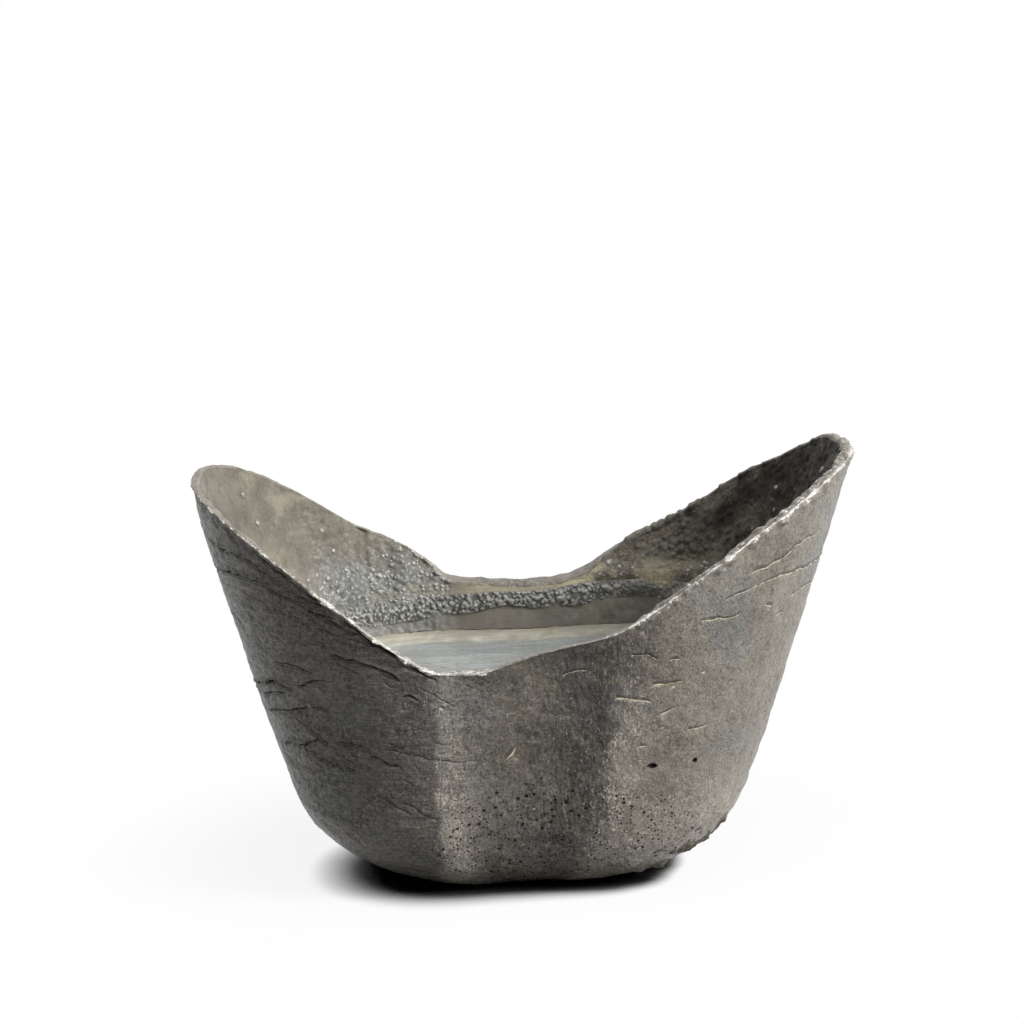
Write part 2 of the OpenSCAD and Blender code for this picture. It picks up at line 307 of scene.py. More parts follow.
# Outline of the casting
class Outline:
    """Facts of the boat's plan at a row of places round it."""

    def __init__(self, places):
        self.places = places
        self.side = np.minimum(np.floor(places), FRONT).astype(int)
        self.along = places - self.side
        self.is_ear = (self.side == RIGHT) | (self.side == LEFT)
        self.facing = np.where(self.side < LEFT, 1.0, -1.0)
        turn = np.where(self.is_ear, (self.along - 0.5) * math.pi, 0)
        self.reach = np.where(self.is_ear, np.maximum(np.cos(turn), 0) ** (2 / FULLNESS), 0)
        self.across = np.sign(turn) * np.abs(np.sin(turn)) ** (2 / FULLNESS)
        self.run = 1 - 2 * self.along
        self.tip_h = np.where(self.side == LEFT, LEFT_TIP_H, RIGHT_TIP_H)
        self.tip_l = np.where(self.side == LEFT, LEFT_TIP_L, RIGHT_TIP_L)
        start_h = CORNER_H[self.side]
        end_h = CORNER_H[(self.side + 1) % 4]
        self.corner_h = start_h + (end_h - start_h) * self.along
        climb = (1 + TIP_FLAT) * self.reach**EAR_CLIMB - TIP_FLAT * self.reach**TIP_POWER
        self.rim_h = self.corner_h + (self.tip_h - self.corner_h) * climb
        thinning = np.minimum(1, self.reach / THIN_SHARE)
        self.root_t = LIP_T + (EAR_ROOT_T - LIP_T) * thinning

    def half_l(self, z):
        rise = (z - FOOT_ROUND_H) / (self.tip_h - FOOT_ROUND_H)
        swell = np.where(self.side == LEFT, LEFT_SWELL * self.reach**2, 0)
        swell = swell * (1 - np.maximum(rise, 0) ** SWELL_POWER)
        return HIP_L / 2 + (self.tip_l - HIP_L / 2) * rise + swell

    def half_w(self, z):
        return HIP_W / 2 + (WIDTH - HIP_W) / 2 * (z - FOOT_ROUND_H) / (WAIST_H - FOOT_ROUND_H)

    def spot(self, z, inset):
        """Points at height z, inset from the outer wall."""
        z, inset = np.broadcast_arrays(z + 0 * self.places, inset + 0 * self.places)
        under = np.clip(1 - z / FOOT_ROUND_H, 0, 1)
        foot = 1 - np.sqrt(1 - under**2)
        draw_in = 1 + (FOOT_L / HIP_L - 1) * foot
        half_l = self.half_l(z) - (self.half_l(0) - FOOT_L / 2) * foot - inset
        half_w = self.half_w(z) - (self.half_w(0) - FOOT_W / 2) * foot - inset
        crease = CREASE_X * draw_in
        hollow = WAIST_HOLLOW * draw_in * (1 - self.run**2)
        x = np.where(self.is_ear, crease + (half_l - crease) * self.reach, crease * self.run)
        y = np.where(self.is_ear, half_w * self.across, half_w - hollow)
        return np.stack([self.facing * x, self.facing * y, z], axis=-1)

    def curve(self, table):
        """Values of a table of places and values, all round."""
        return np.interp(self.places, *zip(*table))


def even_places(side, count):
    """Places along one side, evenly spaced along its wall but closer together on the front."""
    fine = side + np.linspace(0, 1 - 1e-9, ARC_STEPS)
    points = Outline(fine).spot(WAIST_H, 0)
    weights = np.where(points[1:, 1] < 0, FRONT_DENSITY, 1)
    arc = np.append(0, np.cumsum(weights * np.linalg.norm(np.diff(points, axis=0), axis=1)))
    return np.interp(np.linspace(0, arc[-1], count, endpoint=False), arc, fine)


def outline_of(density):
    counts = np.array([EAR_COLUMNS, BACK_COLUMNS, EAR_COLUMNS, FRONT_COLUMNS]) * density
    return Outline(np.concatenate([even_places(side, count) for side, count in enumerate(counts)]))


def round_smooth(values, width):
    """Smooths along the columns, which run round the boat."""
    steps = np.arange(-3 * width, 3 * width + 1)
    weights = np.exp(-0.5 * (steps / width) ** 2)
    weights /= weights.sum()
    axis = 1 if values.ndim > 1 else 0
    return sum(weight * np.roll(values, step, axis) for step, weight in zip(steps, weights))


def shaped_rim(outline):
    """Rim height with its rises, dips and ragged edge, roughest at the far right."""
    shift = outline.curve(RIM_SHAPE)
    shift = round_smooth(shift, max(2, len(shift) // RIM_SOFT_PARTS))
    edge = outline.spot(outline.rim_h, 0)
    roughness = 0.4 + ramp(fractal(edge, 15, 2, 3), 0, 0.8)
    roughness += ramp(edge[:, 0], 10, 40) * (1.5 + 2 * ramp(edge[:, 1], 0, 15))
    ragged = RAGGED_H * fractal(edge, 2.4, 4, 5) * roughness
    return np.minimum(outline.rim_h + shift + ragged, outline.tip_h - RIM_GAP)


def shelf_of(outline, rim_h):
    """Heights of the inner shelf and of the collar's lower edge."""
    low = outline.corner_h + np.minimum(rim_h - outline.rim_h, 0) * (1 - outline.reach)
    shelf_h = round_smooth(low, RIM_SOFTNESS) - SHELF_DROP
    return shelf_h, np.maximum(shelf_h - COLLAR_H, LEDGE_H + COLLAR_EDGE)


outline = outline_of(1)
columns = len(outline.places)
rim_h = shaped_rim(outline)
shelf_h, collar_low_h = shelf_of(outline, rim_h)
waist_line = outline.spot(WAIST_H, 0)


# Skin: one grid from the foot's centre, up the outside, over the rim and down the inside
def steps(count):
    """Shares of the way along a band of rows, without its start."""
    return (np.arange(1, count + 1) / count)[:, None]


def between(start, end, share):
    return start + (end - start) * share


bands = {}
bands["rings"] = outline.spot(0, 0) * np.linspace(RING_START, 1, RING_ROWS, endpoint=False)[:, None, None]
round_turn = math.pi / 2 * np.append([[0]], steps(ROUND_ROWS), 0)
bands["round"] = outline.spot(FOOT_ROUND_H * (1 - np.cos(round_turn)), 0)
bands["straight"] = outline.spot(between(FOOT_ROUND_H, BLOCK_H, steps(STRAIGHT_ROWS)), 0)
bands["outer"] = outline.spot(between(BLOCK_H, rim_h - EDGE_R, steps(OUTER_ROWS)), 0)
rim_t = round_smooth(outline.curve(RIM_T), RIM_SOFTNESS)
rim_t = rim_t * (1 + RIM_T_SWING * fractal(waist_line, 4, 3, 6))
rim_slope = round_smooth(outline.curve(RIM_SLOPE), RIM_SOFTNESS)
arch = math.pi * steps(RIM_ROWS)
over = (1 - np.cos(arch)) / 2
inner_top_h = rim_h - rim_slope - EDGE_R
crest_h = rim_h - rim_slope * over - EDGE_R * (1 - np.abs(np.sin(arch)) ** RIM_SQUARE)
bands["rim"] = outline.spot(crest_h, rim_t * over)
root_h = np.minimum(shelf_h + SHELF_RISE, inner_top_h - ROOT_GAP)
down = steps(INNER_ROWS)
bands["inner"] = outline.spot(between(inner_top_h, root_h, down), between(rim_t, outline.root_t, down))
down = steps(SHELF_ROWS)
bands["shelf"] = outline.spot(between(root_h, shelf_h, down**2), between(outline.root_t, SHELF_T, down))
seat_t = (BASIN_WALL_T + SHELF_T) / 2
down = steps(SEAT_ROWS)
bands["seat"] = outline.spot(between(shelf_h, collar_low_h, down), between(SHELF_T, seat_t, down))
down = steps(BASIN_ROWS)
bands["basin"] = outline.spot(between(collar_low_h, LEDGE_H, down), between(seat_t, BASIN_WALL_T, down))
foot_of_basin = outline.spot(LEDGE_H, BASIN_WALL_T)
foot_of_basin[:, 2] = BLOCK_H
bands["hidden"] = foot_of_basin[None]

starts = np.cumsum([0] + [len(rows) for rows in bands.values()])
span = {name: slice(first, last) for name, first, last in zip(bands, starts, starts[1:])}
base = np.concatenate(list(bands.values()))
base = round_smooth(base, CREASE_SOFTNESS)
total_rows = len(base)
block_row = span["outer"].start - 1
outside = slice(0, span["outer"].stop)


def grid_normals(points, loop_rows=False):
    across = np.roll(points, -1, 1) - np.roll(points, 1, 1)
    if loop_rows:
        along = np.roll(points, -1, 0) - np.roll(points, 1, 0)
    else:
        along = np.gradient(points, axis=0)
    normals = np.cross(across, along)
    return normals / np.maximum(np.linalg.norm(normals, axis=-1, keepdims=True), 1e-12)


normals = grid_normals(base)
relief = np.zeros(base.shape[:2])
MARKS = (
    "polish", "edge", "lip", "dark", "dark_gap", "dark_on", "pale_gap", "pale_on", "cool", "inside", "lit_crown",
    "soot_and_shade", "soil", "rub_and_light", "pitted", "calm", "grainy", "streak",
)
marks = {name: np.zeros(base.shape[:2]) for name in MARKS}
marks["dark_gap"] += LAP_REACH
marks["pale_gap"] += LAP_REACH
marks["edge"] += FAR_EDGE
x_of, y_of, z_of = np.moveaxis(base, -1, 0)

# Distance along the wall from the middle of the front, right positive
arc = np.cumsum(np.linalg.norm(waist_line - np.roll(waist_line, 1, 0), axis=1))
arc_l = arc[-1]
arc = (arc - np.interp(FRONT + 0.5, outline.places, arc) + arc_l / 2) % arc_l - arc_l / 2
front_order = np.flatnonzero(np.abs(arc) < arc_l / 4)
front_order = front_order[np.argsort(arc[front_order])]


def front_arc(x, z):
    """Where a place seen on the front lies along the wall."""
    return np.interp(x, outline.spot(float(z), 0)[front_order, 0], arc[front_order])


# Outside: waves, a dented end, and the hollow of the front panel
skin = base[outside]
skin_x, skin_y, skin_z = np.moveaxis(skin, -1, 0)
on_front = ramp(-skin_y, 5, 15)
calm = ramp(-skin_x, -5, 22)
below_rim = rim_h - skin_z
for height, change, size, octaves, seed in SKIN_LAYERS:
    relief[outside] += (height + change * calm) * fractal(skin, size, octaves, seed)
end_dent = hump(skin_x, END_DENT_AT[0], END_DENT_R[0]) * hump(skin_z, END_DENT_AT[1], END_DENT_R[1])
relief[outside] -= END_DENT_DEPTH * end_dent
ridge_x = np.interp(skin_z, [z for x, z in RIDGE], [x for x, z in RIDGE])
ridge_x = ridge_x + 1.1 * fractal(skin, 9, 2, 18) + 0.4 * fractal(skin, 2.5, 2, 19)
share = np.clip((skin_x - HOLLOW_LEFT_X) / (ridge_x - HOLLOW_LEFT_X), 0, 1)
dish = share**1.5 * (1 - share) ** 1.8
dish *= on_front * ramp(skin_z, 1, 10) * (0.4 + 0.6 * ramp(below_rim, 0, 4)) / dish.max()
relief[outside] -= HOLLOW_DEPTH * dish
marks["calm"][outside] = calm

# Rubbed wear and painted highlight along the ridge and beside the left crease, painted shade streaked
# between, pitted low down
ridge_gap = skin_x - ridge_x - 0.7 * fractal(skin, 4, 2, 15)
crease_gap = skin_x - HOLLOW_LEFT_X - 0.7 * fractal(skin, 4, 2, 16)
rub_and_light = hump(ridge_gap, 0, np.where(ridge_gap > 0, 5.0, 3.0)) * ramp(46 - skin_z, 0, 14)
# Painted bounce light from the floor on the lower right, right of the ridge
rub_and_light = np.maximum(rub_and_light, 0.8 * ramp(ridge_gap, 0, 5) * (1 - ramp(skin_x, 36, 48)) * (1 - ramp(skin_z, 14, 28)))
crease_rub_and_light = ramp(crease_gap, -0.8, 0.4) * (1 - ramp(crease_gap, 1.5, 9)) * (1 - 0.5 * ramp(skin_z, 12, 40))
marks["rub_and_light"][outside] = on_front * np.maximum(rub_and_light, crease_rub_and_light)
# Painted shade of the hollow, deepest towards the ridge where the panel turns from the key light, broken into
# upright streaks
streak = on_front * (0.35 + 0.65 * ramp(share, 0.4, 0.8)) * (1 - ramp(ridge_gap, -1, 4))
streak *= ramp(crease_gap, 2, 12)
# Painted shade on the left of the crease
crease_shade = 0.6 * on_front * ramp(-crease_gap, 0, 0.8) * (1 - ramp(-crease_gap, 2, 12))
marks["streak"][outside] = np.maximum(streak, crease_shade)
pitted = np.exp(-(((skin_x - 9) / 24) ** 4)) * (1 - ramp(skin_z + 0.25 * np.maximum(skin_x - 12, 0), 17, 25))
marks["pitted"][outside] = on_front * pitted
flecks = 0.4 * ramp(fractal(skin, (1.8, 1.8, 0.9), 3, 17), 0.75, 1.05)
marks["soil"][outside] = on_front * flecks * ramp(skin_x, -14, -4) * (1 - 0.6 * ramp(skin_x, 12, 24))
marks["cool"][outside] = ramp(fractal(skin, 9, 3, 45), 0.15, 0.7)


def cut_lap(path, depth, kind):
    """Cuts a wandering groove with a lip along a path of places along the wall and up it."""
    path = np.array(path, float)
    first = path[:, 0].min() - 2 * LAP_REACH
    last = path[:, 0].max() + 2 * LAP_REACH
    block = np.ix_(np.arange(outside.stop), np.flatnonzero((arc > first) & (arc < last)))
    points = base[block]
    along = arc[block[1]] + LAP_WANDER * fractal(points, 3, 2, 21)
    up = points[..., 2] + LAP_WANDER * fractal(points, 3, 2, 22)
    gap = np.full(up.shape, np.inf)
    beyond = np.zeros(up.shape)
    last_run = len(path) - 2
    for i, (start, end) in enumerate(zip(path[:-1], path[1:])):
        run = end - start
        run_l = np.hypot(*run)
        share = ((along - start[0]) * run[0] + (up - start[1]) * run[1]) / run_l**2
        nearest = np.clip(share, 0, 1)
        side = np.sign(run[0] * (up - start[1]) - run[1] * (along - start[0]))
        reach = np.hypot(along - start[0] - nearest * run[0], up - start[1] - nearest * run[1])
        past_start = -share if i == 0 else -1 + 0 * share
        past_end = share - 1 if i == last_run else -1 + 0 * share
        closer = reach < np.abs(gap)
        gap = np.where(closer, side * reach, gap)
        beyond = np.where(closer, run_l * np.maximum(past_start, past_end), beyond)
    lap_on = ramp(-beyond, 0, LAP_END_L) * ramp(noise(points, 2.2, 23), *LAP_BREAKS)
    lap_on *= 1 - ramp(np.abs(gap), *LAP_FADE)
    relief[block] -= lap_on * depth * hump(gap, 0, LAP_W)
    relief[block] += lap_on * LAP_LIP_SHARE * depth * hump(gap, 2 * LAP_W, LAP_LIP_W)
    closer = np.abs(gap) < np.abs(marks[kind + "_gap"][block])
    marks[kind + "_gap"][block] = np.where(closer, gap, marks[kind + "_gap"][block])
    strength = np.clip(0.4 + 1.2 * depth, 0, 1)
    marks[kind + "_on"][block] = np.where(closer, strength * lap_on, marks[kind + "_on"][block])


for depth, path in LAPS:
    cut_lap([(front_arc(x, z), z) for x, z in path], depth, "dark")
for depth, path in PALE_LAPS:
    cut_lap([(front_arc(x, z), z) for x, z in path], PALE_DEPTH * depth, "pale")
for _ in range(SMALL_LAPS):
    start = rng.uniform((-arc_l / 2, SMALL_LAP_HEIGHTS[0]), (arc_l / 2, SMALL_LAP_HEIGHTS[1]))
    on_right = abs(start[0] - arc_l / 4) < arc_l / 4 - CREASE_X
    if abs(start[0]) < CREASE_X or (on_right and rng.random() < SKIPPED_ON_RIGHT):
        continue
    kind, length, slope = SMALL_LAP_KINDS[int(on_right)]
    run_l = rng.gamma(2, length)
    run = np.array([run_l, rng.normal(slope, SLOPE_SPREAD) * run_l])
    middle = start + run / 2 + (0, rng.normal(0, BEND_SPREAD))
    cut_lap([start, middle, start + run], rng.uniform(*SMALL_LAP_DEPTH), kind)


# Gas holes and pits
def block_round(grid, row, column, half):
    """Rows and columns of a grid near one of its vertices."""
    rows = np.arange(max(row - half, 0), min(row + half, len(grid)))
    return np.ix_(rows, np.arange(column - half, column + half) % grid.shape[1])


def press(row, column, half_w, half_h, depth, mark="dark"):
    """Presses an oval hole into the skin."""
    block = block_round(base, row, column, int(max(half_w, half_h) / HOLE_GRID) + 3)
    offset = base[block] - base[row, column]
    gap = np.hypot(np.hypot(offset[..., 0], offset[..., 1]) / half_w, offset[..., 2] / half_h)
    hole = np.exp(-(gap**4))
    pressed = relief[row, column] - depth * hole + (1 - hole) * HOLE_CLEAR
    relief[block] = np.minimum(relief[block], pressed)
    marks[mark][block] = np.maximum(marks[mark][block], hole)


def front_vertex(x, z):
    gap = (x_of[outside] - x) ** 2 + (z_of[outside] - z) ** 2
    gap[y_of[outside] > 0] = np.inf
    return np.unravel_index(np.argmin(gap), gap.shape)


for x, z, *shape in HOLES:
    press(*front_vertex(x, z), *shape)
press(*front_vertex(*DIMPLE[:2]), *DIMPLE[2:], "calm")
for _ in range(PITS):
    x = rng.normal(PIT_X, PIT_SPREAD)
    z = rng.uniform(*PIT_HEIGHTS) - PIT_FALL * abs(x - PIT_X)
    radius = rng.uniform(*PIT_R)
    press(*front_vertex(x, max(z, PIT_LOW)), radius, radius, rng.uniform(*PIT_DEPTH))

# Inside: a smooth left ear, a rough right one with soot and painted shade, and beaded corners
indoors = slice(span["inner"].start, span["basin"].stop)
hollow = base[indoors]
hollow_x, hollow_y, hollow_z = np.moveaxis(hollow, -1, 0)
marks["inside"][indoors] = 1
rough = ramp(hollow_x, -5, 20)
relief[indoors] += (0.05 + 0.2 * rough) * fractal(hollow, 4, 3, 31)
relief[indoors] += 0.14 * rough * np.abs(fractal(hollow, 1.6, 2, 32))
relief[indoors] += 0.03 * (1 - rough) * fractal(hollow, (1.2, 1.2, 14), 2, 33)
over_shelf = hollow_z - shelf_h
smoke_and_shade = hollow_x / 14 + 0.8 * fractal(hollow, 5, 4, 34)
ochre = hump(over_shelf, 0.8, 2.7) * ramp(hollow_y, 0, 8)
ochre *= (0.4 * ramp(hollow_x, -16, -8) + 0.6 * ramp(hollow_x, 3, 12)) * (1 - ramp(hollow_x, 36, 44))
# Soot in patches, with painted shade that deepens towards the right ear's inside, turned from the key light
marks["soot_and_shade"][indoors] = (0.2 * ramp(hollow_x, 8, 24) + 0.65 * ramp(smoke_and_shade, 2.3, 3.5)) * (1 - ochre)
marks["calm"][indoors] = 1 - rough
ochre_soil = ochre * ramp(fractal(hollow, (5, 5, 3), 3, 35), -1.1, 0)
mottled_soil = 0.18 * ramp(fractal(hollow, 5, 4, 36), 0.3, 1.3) * (1 - rough)
marks["soil"][indoors] = np.maximum(ochre_soil, mottled_soil)
marks["calm"][span["basin"]] = 1
marks["soot_and_shade"][span["basin"]] = 0
# Painted light: the basin wall is lightened with the crown colour
marks["lit_crown"][span["basin"]] = 0.6
corner = 1 - ramp(np.abs(outline.places - GRAINY_PLACE), *GRAINY_FADE)
marks["grainy"][indoors] = corner * (1 - ramp(over_shelf + 2 * fractal(hollow, 5, 2, 37), 3, 10))
relief[indoors] += corner * (0.35 * fractal(hollow, 4, 2, 38) + 0.3 * np.abs(fractal(hollow, 1.7, 2, 39)))
fillet = np.clip(1 - (over_shelf - SHELF_RISE) / FILLET_H, 0, 1)
fillet[INNER_ROWS:] = 0
fillet[INNER_ROWS:INNER_ROWS + SHELF_ROWS] = 1 - steps(SHELF_ROWS) ** 3
relief[indoors] += FILLET_T * fillet * ramp(hollow_x, 8, 18) * ramp(hollow_y, 0, 9)


BEAD_GRID = 0.12


def raise_bead(target, points, row, column, radius, squash, lit_crown):
    """Raises a round bead on a grid and marks its crown for a painted highlight."""
    block = block_round(points, row, column, int(radius / BEAD_GRID) + 2)
    gap = np.linalg.norm(points[block] - points[row, column], axis=-1) / radius
    dome = squash * radius * np.sqrt(np.clip(1 - gap**2, 0, None))
    target[block] = np.where(gap < 1, np.maximum(target[block], dome), target[block])
    lit_crown[block] = np.maximum(lit_crown[block], np.clip(1 - gap**2, 0, 1))


def columns_in(first, last):
    return np.flatnonzero((outline.places > first) & (outline.places < last))


def row_at(rows, column, height):
    """The row of a band that lies nearest to a height."""
    return rows.start + int(np.argmin(np.abs(z_of[rows, column] - height)))


# Beads over parts of the inside: count, places, heights over the collar, radii
BEAD_ZONES = [
    (300, (0.7, 1.03), (0, 6), (0.3, 0.6)),
    (320, (0.5, 0.96), (5, 30), (0.3, 0.8)),
]
BEAD_SQUASH = 0.7
for count, places, heights, radii in BEAD_ZONES:
    choice = columns_in(*places)
    for _ in range(count):
        column = rng.choice(choice)
        height = root_h[column] + rng.uniform(*heights) * rng.uniform(0.3, 1)
        row = row_at(span["inner"], column, height)
        raise_bead(relief, base, row, column, rng.uniform(*radii), BEAD_SQUASH, marks["lit_crown"])

# Rim: broken, worn bright along its outer edge, with a dark seam under the left one
rim_lip = round_smooth(outline.curve(RIM_LIP), CREASE_SOFTNESS)
rim_rows = slice(span["outer"].stop - ROUGH_ROWS[0], span["inner"].start + ROUGH_ROWS[1])
relief[rim_rows] += (0.05 + 0.16 * rim_lip) * fractal(base[rim_rows], 1.7, 3, 41) - 0.04
hang = rim_lip * (1 + 0.35 * fractal(skin, 2.5, 3, 42))
relief[outside] += LIP_HANG * ramp(hang - below_rim, -0.2, 0.3) * ramp(rim_lip, 0.3, 0.7)
marks["polish"][: rim_rows.stop] = round_smooth(outline.curve(RIM_POLISH), CREASE_SOFTNESS)
marks["lip"][: rim_rows.stop] = rim_lip
marks["edge"][outside] = np.minimum(below_rim, FAR_EDGE)
marks["edge"][span["rim"]] = -rim_t * over
marks["edge"][indoors] = -FAR_EDGE
seam = hump(below_rim - SEAM_DROP, 0.25 * noise(skin, 5, 46), 0.25)
seam *= ramp(outline.places, 2.5, 2.6) * ramp(noise(skin, 3, 47), -0.6, 0.2) * (outline.places < FRONT)
relief[outside] -= SEAM_DEPTH * seam
marks["dark"][outside] = np.maximum(marks["dark"][outside], 0.8 * seam)

surface = base + normals * relief[..., None]
surface = np.clip(surface, np.array(cad_box[0]) / MM, np.array(cad_box[1]) / MM - BOX_GAP)
surface_normals = grid_normals(surface)


# Pieces
def make_piece(name, node, material, points, faces, normals=None, attributes=None):
    mesh = bpy.data.meshes.new(name)
    mesh.from_pydata(points.reshape(-1, 3) * MM, [], faces)
    mesh.shade_smooth()
    if normals is not None:
        mesh.normals_split_custom_set_from_vertices(normals.reshape(-1, 3))
    for key, values in (attributes or {}).items():
        attribute = mesh.attributes.new(key, "FLOAT", "POINT")
        attribute.data.foreach_set("value", values.ravel().astype(np.float32))
    mesh.materials.append(material)
    piece = bpy.data.objects.new(name, mesh)
    bpy.context.collection.objects.link(piece)
    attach(piece, "root")
    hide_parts(node)


def grid_faces(rows, wide, loop_rows=False, loop_columns=False):
    """Four-sided faces of a grid, facing out."""
    row = np.arange(rows if loop_rows else rows - 1)[:, None] * wide
    column = np.arange(wide if loop_columns else wide - 1)
    next_row = (row + wide) % (rows * wide)
    next_column = (column + 1) % wide
    corners = [row + column, row + next_column, next_row + next_column, next_row + column]
    return np.stack(corners, axis=-1).reshape(-1, 4).tolist()


# Materials
class Value:
    """A number that varies over a surface; nodes do the sums that are written with it."""

    def __init__(self, paint, node, output):
        self.paint = paint
        self.socket = node.outputs[output]

    def reckon(self, operation, other=0.0):
        node = self.paint.node("ShaderNodeMath", {0: self, 1: other}, operation=operation)
        return Value(self.paint, node, "Value")

    __add__ = functools.partialmethod(reckon, "ADD")
    __sub__ = functools.partialmethod(reckon, "SUBTRACT")
    __mul__ = functools.partialmethod(reckon, "MULTIPLY")
    __truediv__ = functools.partialmethod(reckon, "DIVIDE")
    __abs__ = functools.partialmethod(reckon, "ABSOLUTE")
    maximum = functools.partialmethod(reckon, "MAXIMUM")
    less_than = functools.partialmethod(reckon, "LESS_THAN")

    def remap(self, low, high, to_low=0.0, to_high=1.0):
        inputs = {"Value": self, "From Min": low, "From Max": high, "To Min": to_low, "To Max": to_high}
        return Value(self.paint, self.paint.node("ShaderNodeMapRange", inputs), "Result")


class Paint:
    """The nodes of a material or a world, and the colour that its skin has so far."""

    def __init__(self, owner):
        owner.use_nodes = True
        self.owner = owner
        self.tree = owner.node_tree
        self.tree.nodes.clear()
        self.skin = None

    @functools.cached_property
    def place(self):
        return self.node("ShaderNodeTexCoord").outputs["Object"]

    def node(self, kind, inputs=None, **settings):
        node = self.tree.nodes.new(kind)
        for key, value in settings.items():
            setattr(node, key, value)
        for key, value in (inputs or {}).items():
            if isinstance(value, Value):
                value = value.socket
            if isinstance(value, bpy.types.NodeSocket):
                self.tree.links.new(value, node.inputs[key])
            else:
                node.inputs[key].default_value = value
        return node

    def mark(self, name):
        return Value(self, self.node("ShaderNodeAttribute", attribute_name=name), "Fac")

    def axis(self, name):
        return Value(self, self.node("ShaderNodeSeparateXYZ", {"Vector": self.place}), name)

    def noise(self, size, detail=4, roughness=0.6, stretch=(1, 1, 1), seed=0):
        """Noise with lumps of a size in millimetres."""
        scale = [1 / (MM * size * axis) for axis in stretch]
        inputs = {"Vector": self.place, "Scale": scale, "Location": (seed,) * 3}
        mapped = self.node("ShaderNodeMapping", inputs).outputs["Vector"]
        inputs = {"Vector": mapped, "Scale": 1.0, "Detail": detail, "Roughness": roughness}
        return Value(self, self.node("ShaderNodeTexNoise", inputs), "Fac")

    def cells(self, spacing):
        """Round cells, with their spacing in millimetres."""
        return self.node("ShaderNodeTexVoronoi", {"Vector": self.place, "Scale": 1 / (spacing * MM)})

    def dots(self, spacing, share):
        """Round dots of many sizes, up to a share of their spacing."""
        cells = self.cells(spacing)
        chance = self.node("ShaderNodeSeparateColor", {"Color": cells.outputs["Color"]})
        radius = Value(self, chance, "Red").remap(0.3, 1, 0.0, share)
        return Value(self, cells, "Distance").less_than(radius)

    def mix(self, share, a, b, blend="MIX"):
        inputs = {"Factor": share, 6: a, 7: b}
        return self.node("ShaderNodeMix", inputs, data_type="RGBA", blend_type=blend).outputs[2]

    def cover(self, share, hue):
        """Lays a colour over part of the skin."""
        self.skin = self.mix(share, self.skin, hue)

    def shade(self, amount, share=1.0):
        """Darkens and lightens the skin."""
        self.skin = self.mix(share, self.skin, amount, "MULTIPLY")

    def bump(self, height, depth, strength):
        inputs = {"Strength": strength, "Distance": depth * MM, "Height": height}
        return self.node("ShaderNodeBump", inputs).outputs["Normal"]

    def finish(self, **sockets):
        inputs = {key.replace("_", " "): value for key, value in sockets.items()}
        shader = self.node("ShaderNodeBsdfPrincipled", {"Base Color": self.skin, **inputs})
        self.node("ShaderNodeOutputMaterial", {"Surface": shader.outputs["BSDF"]})
        return self.owner


def new_paint(name):
    return Paint(bpy.data.materials.new(name))


def colour(red, green, blue):
    return (red, green, blue, 1.0)


# Colours of the tarnished skin
SKIN_DARK = colour(0.232, 0.208, 0.172)
SKIN_LIGHT = colour(0.357, 0.323, 0.272)
SKIN_COOL = colour(0.27, 0.278, 0.268)
SKIN_CALM_AND_SHADED = colour(0.186, 0.179, 0.164)
SKIN_INSIDE = colour(0.215, 0.193, 0.148)
FLECK_AND_SHADOW = colour(0.05, 0.045, 0.04)
SPECK_GLINT = colour(0.55, 0.52, 0.46)
STREAK_AND_SHADE = colour(0.066, 0.06, 0.053)
WRINKLE = colour(0.06, 0.055, 0.049)
RUBBED_AND_LIT = colour(0.43, 0.388, 0.33)
FIBRE_AND_GLINT = colour(0.76, 0.70, 0.61)
PINHOLE = colour(0.015, 0.013, 0.011)
GRAIN_LOW = colour(0.2, 0.207, 0.202)
GRAIN_HIGHLIGHT = colour(0.52, 0.53, 0.52)
SOIL = colour(0.8, 0.72, 0.5)
LIT_CROWN = colour(0.46, 0.44, 0.4)
SOOT_AND_SHADE = colour(0.032, 0.029, 0.026)
PALE_LAP = colour(0.8, 0.72, 0.52)
DARK_LAP = colour(0.015, 0.013, 0.012)
LAP_LIP_HIGHLIGHT = colour(0.5, 0.48, 0.45)
RIM_BROWN = colour(0.4, 0.36, 0.295)
BARE_METAL = colour(0.8, 0.78, 0.74)


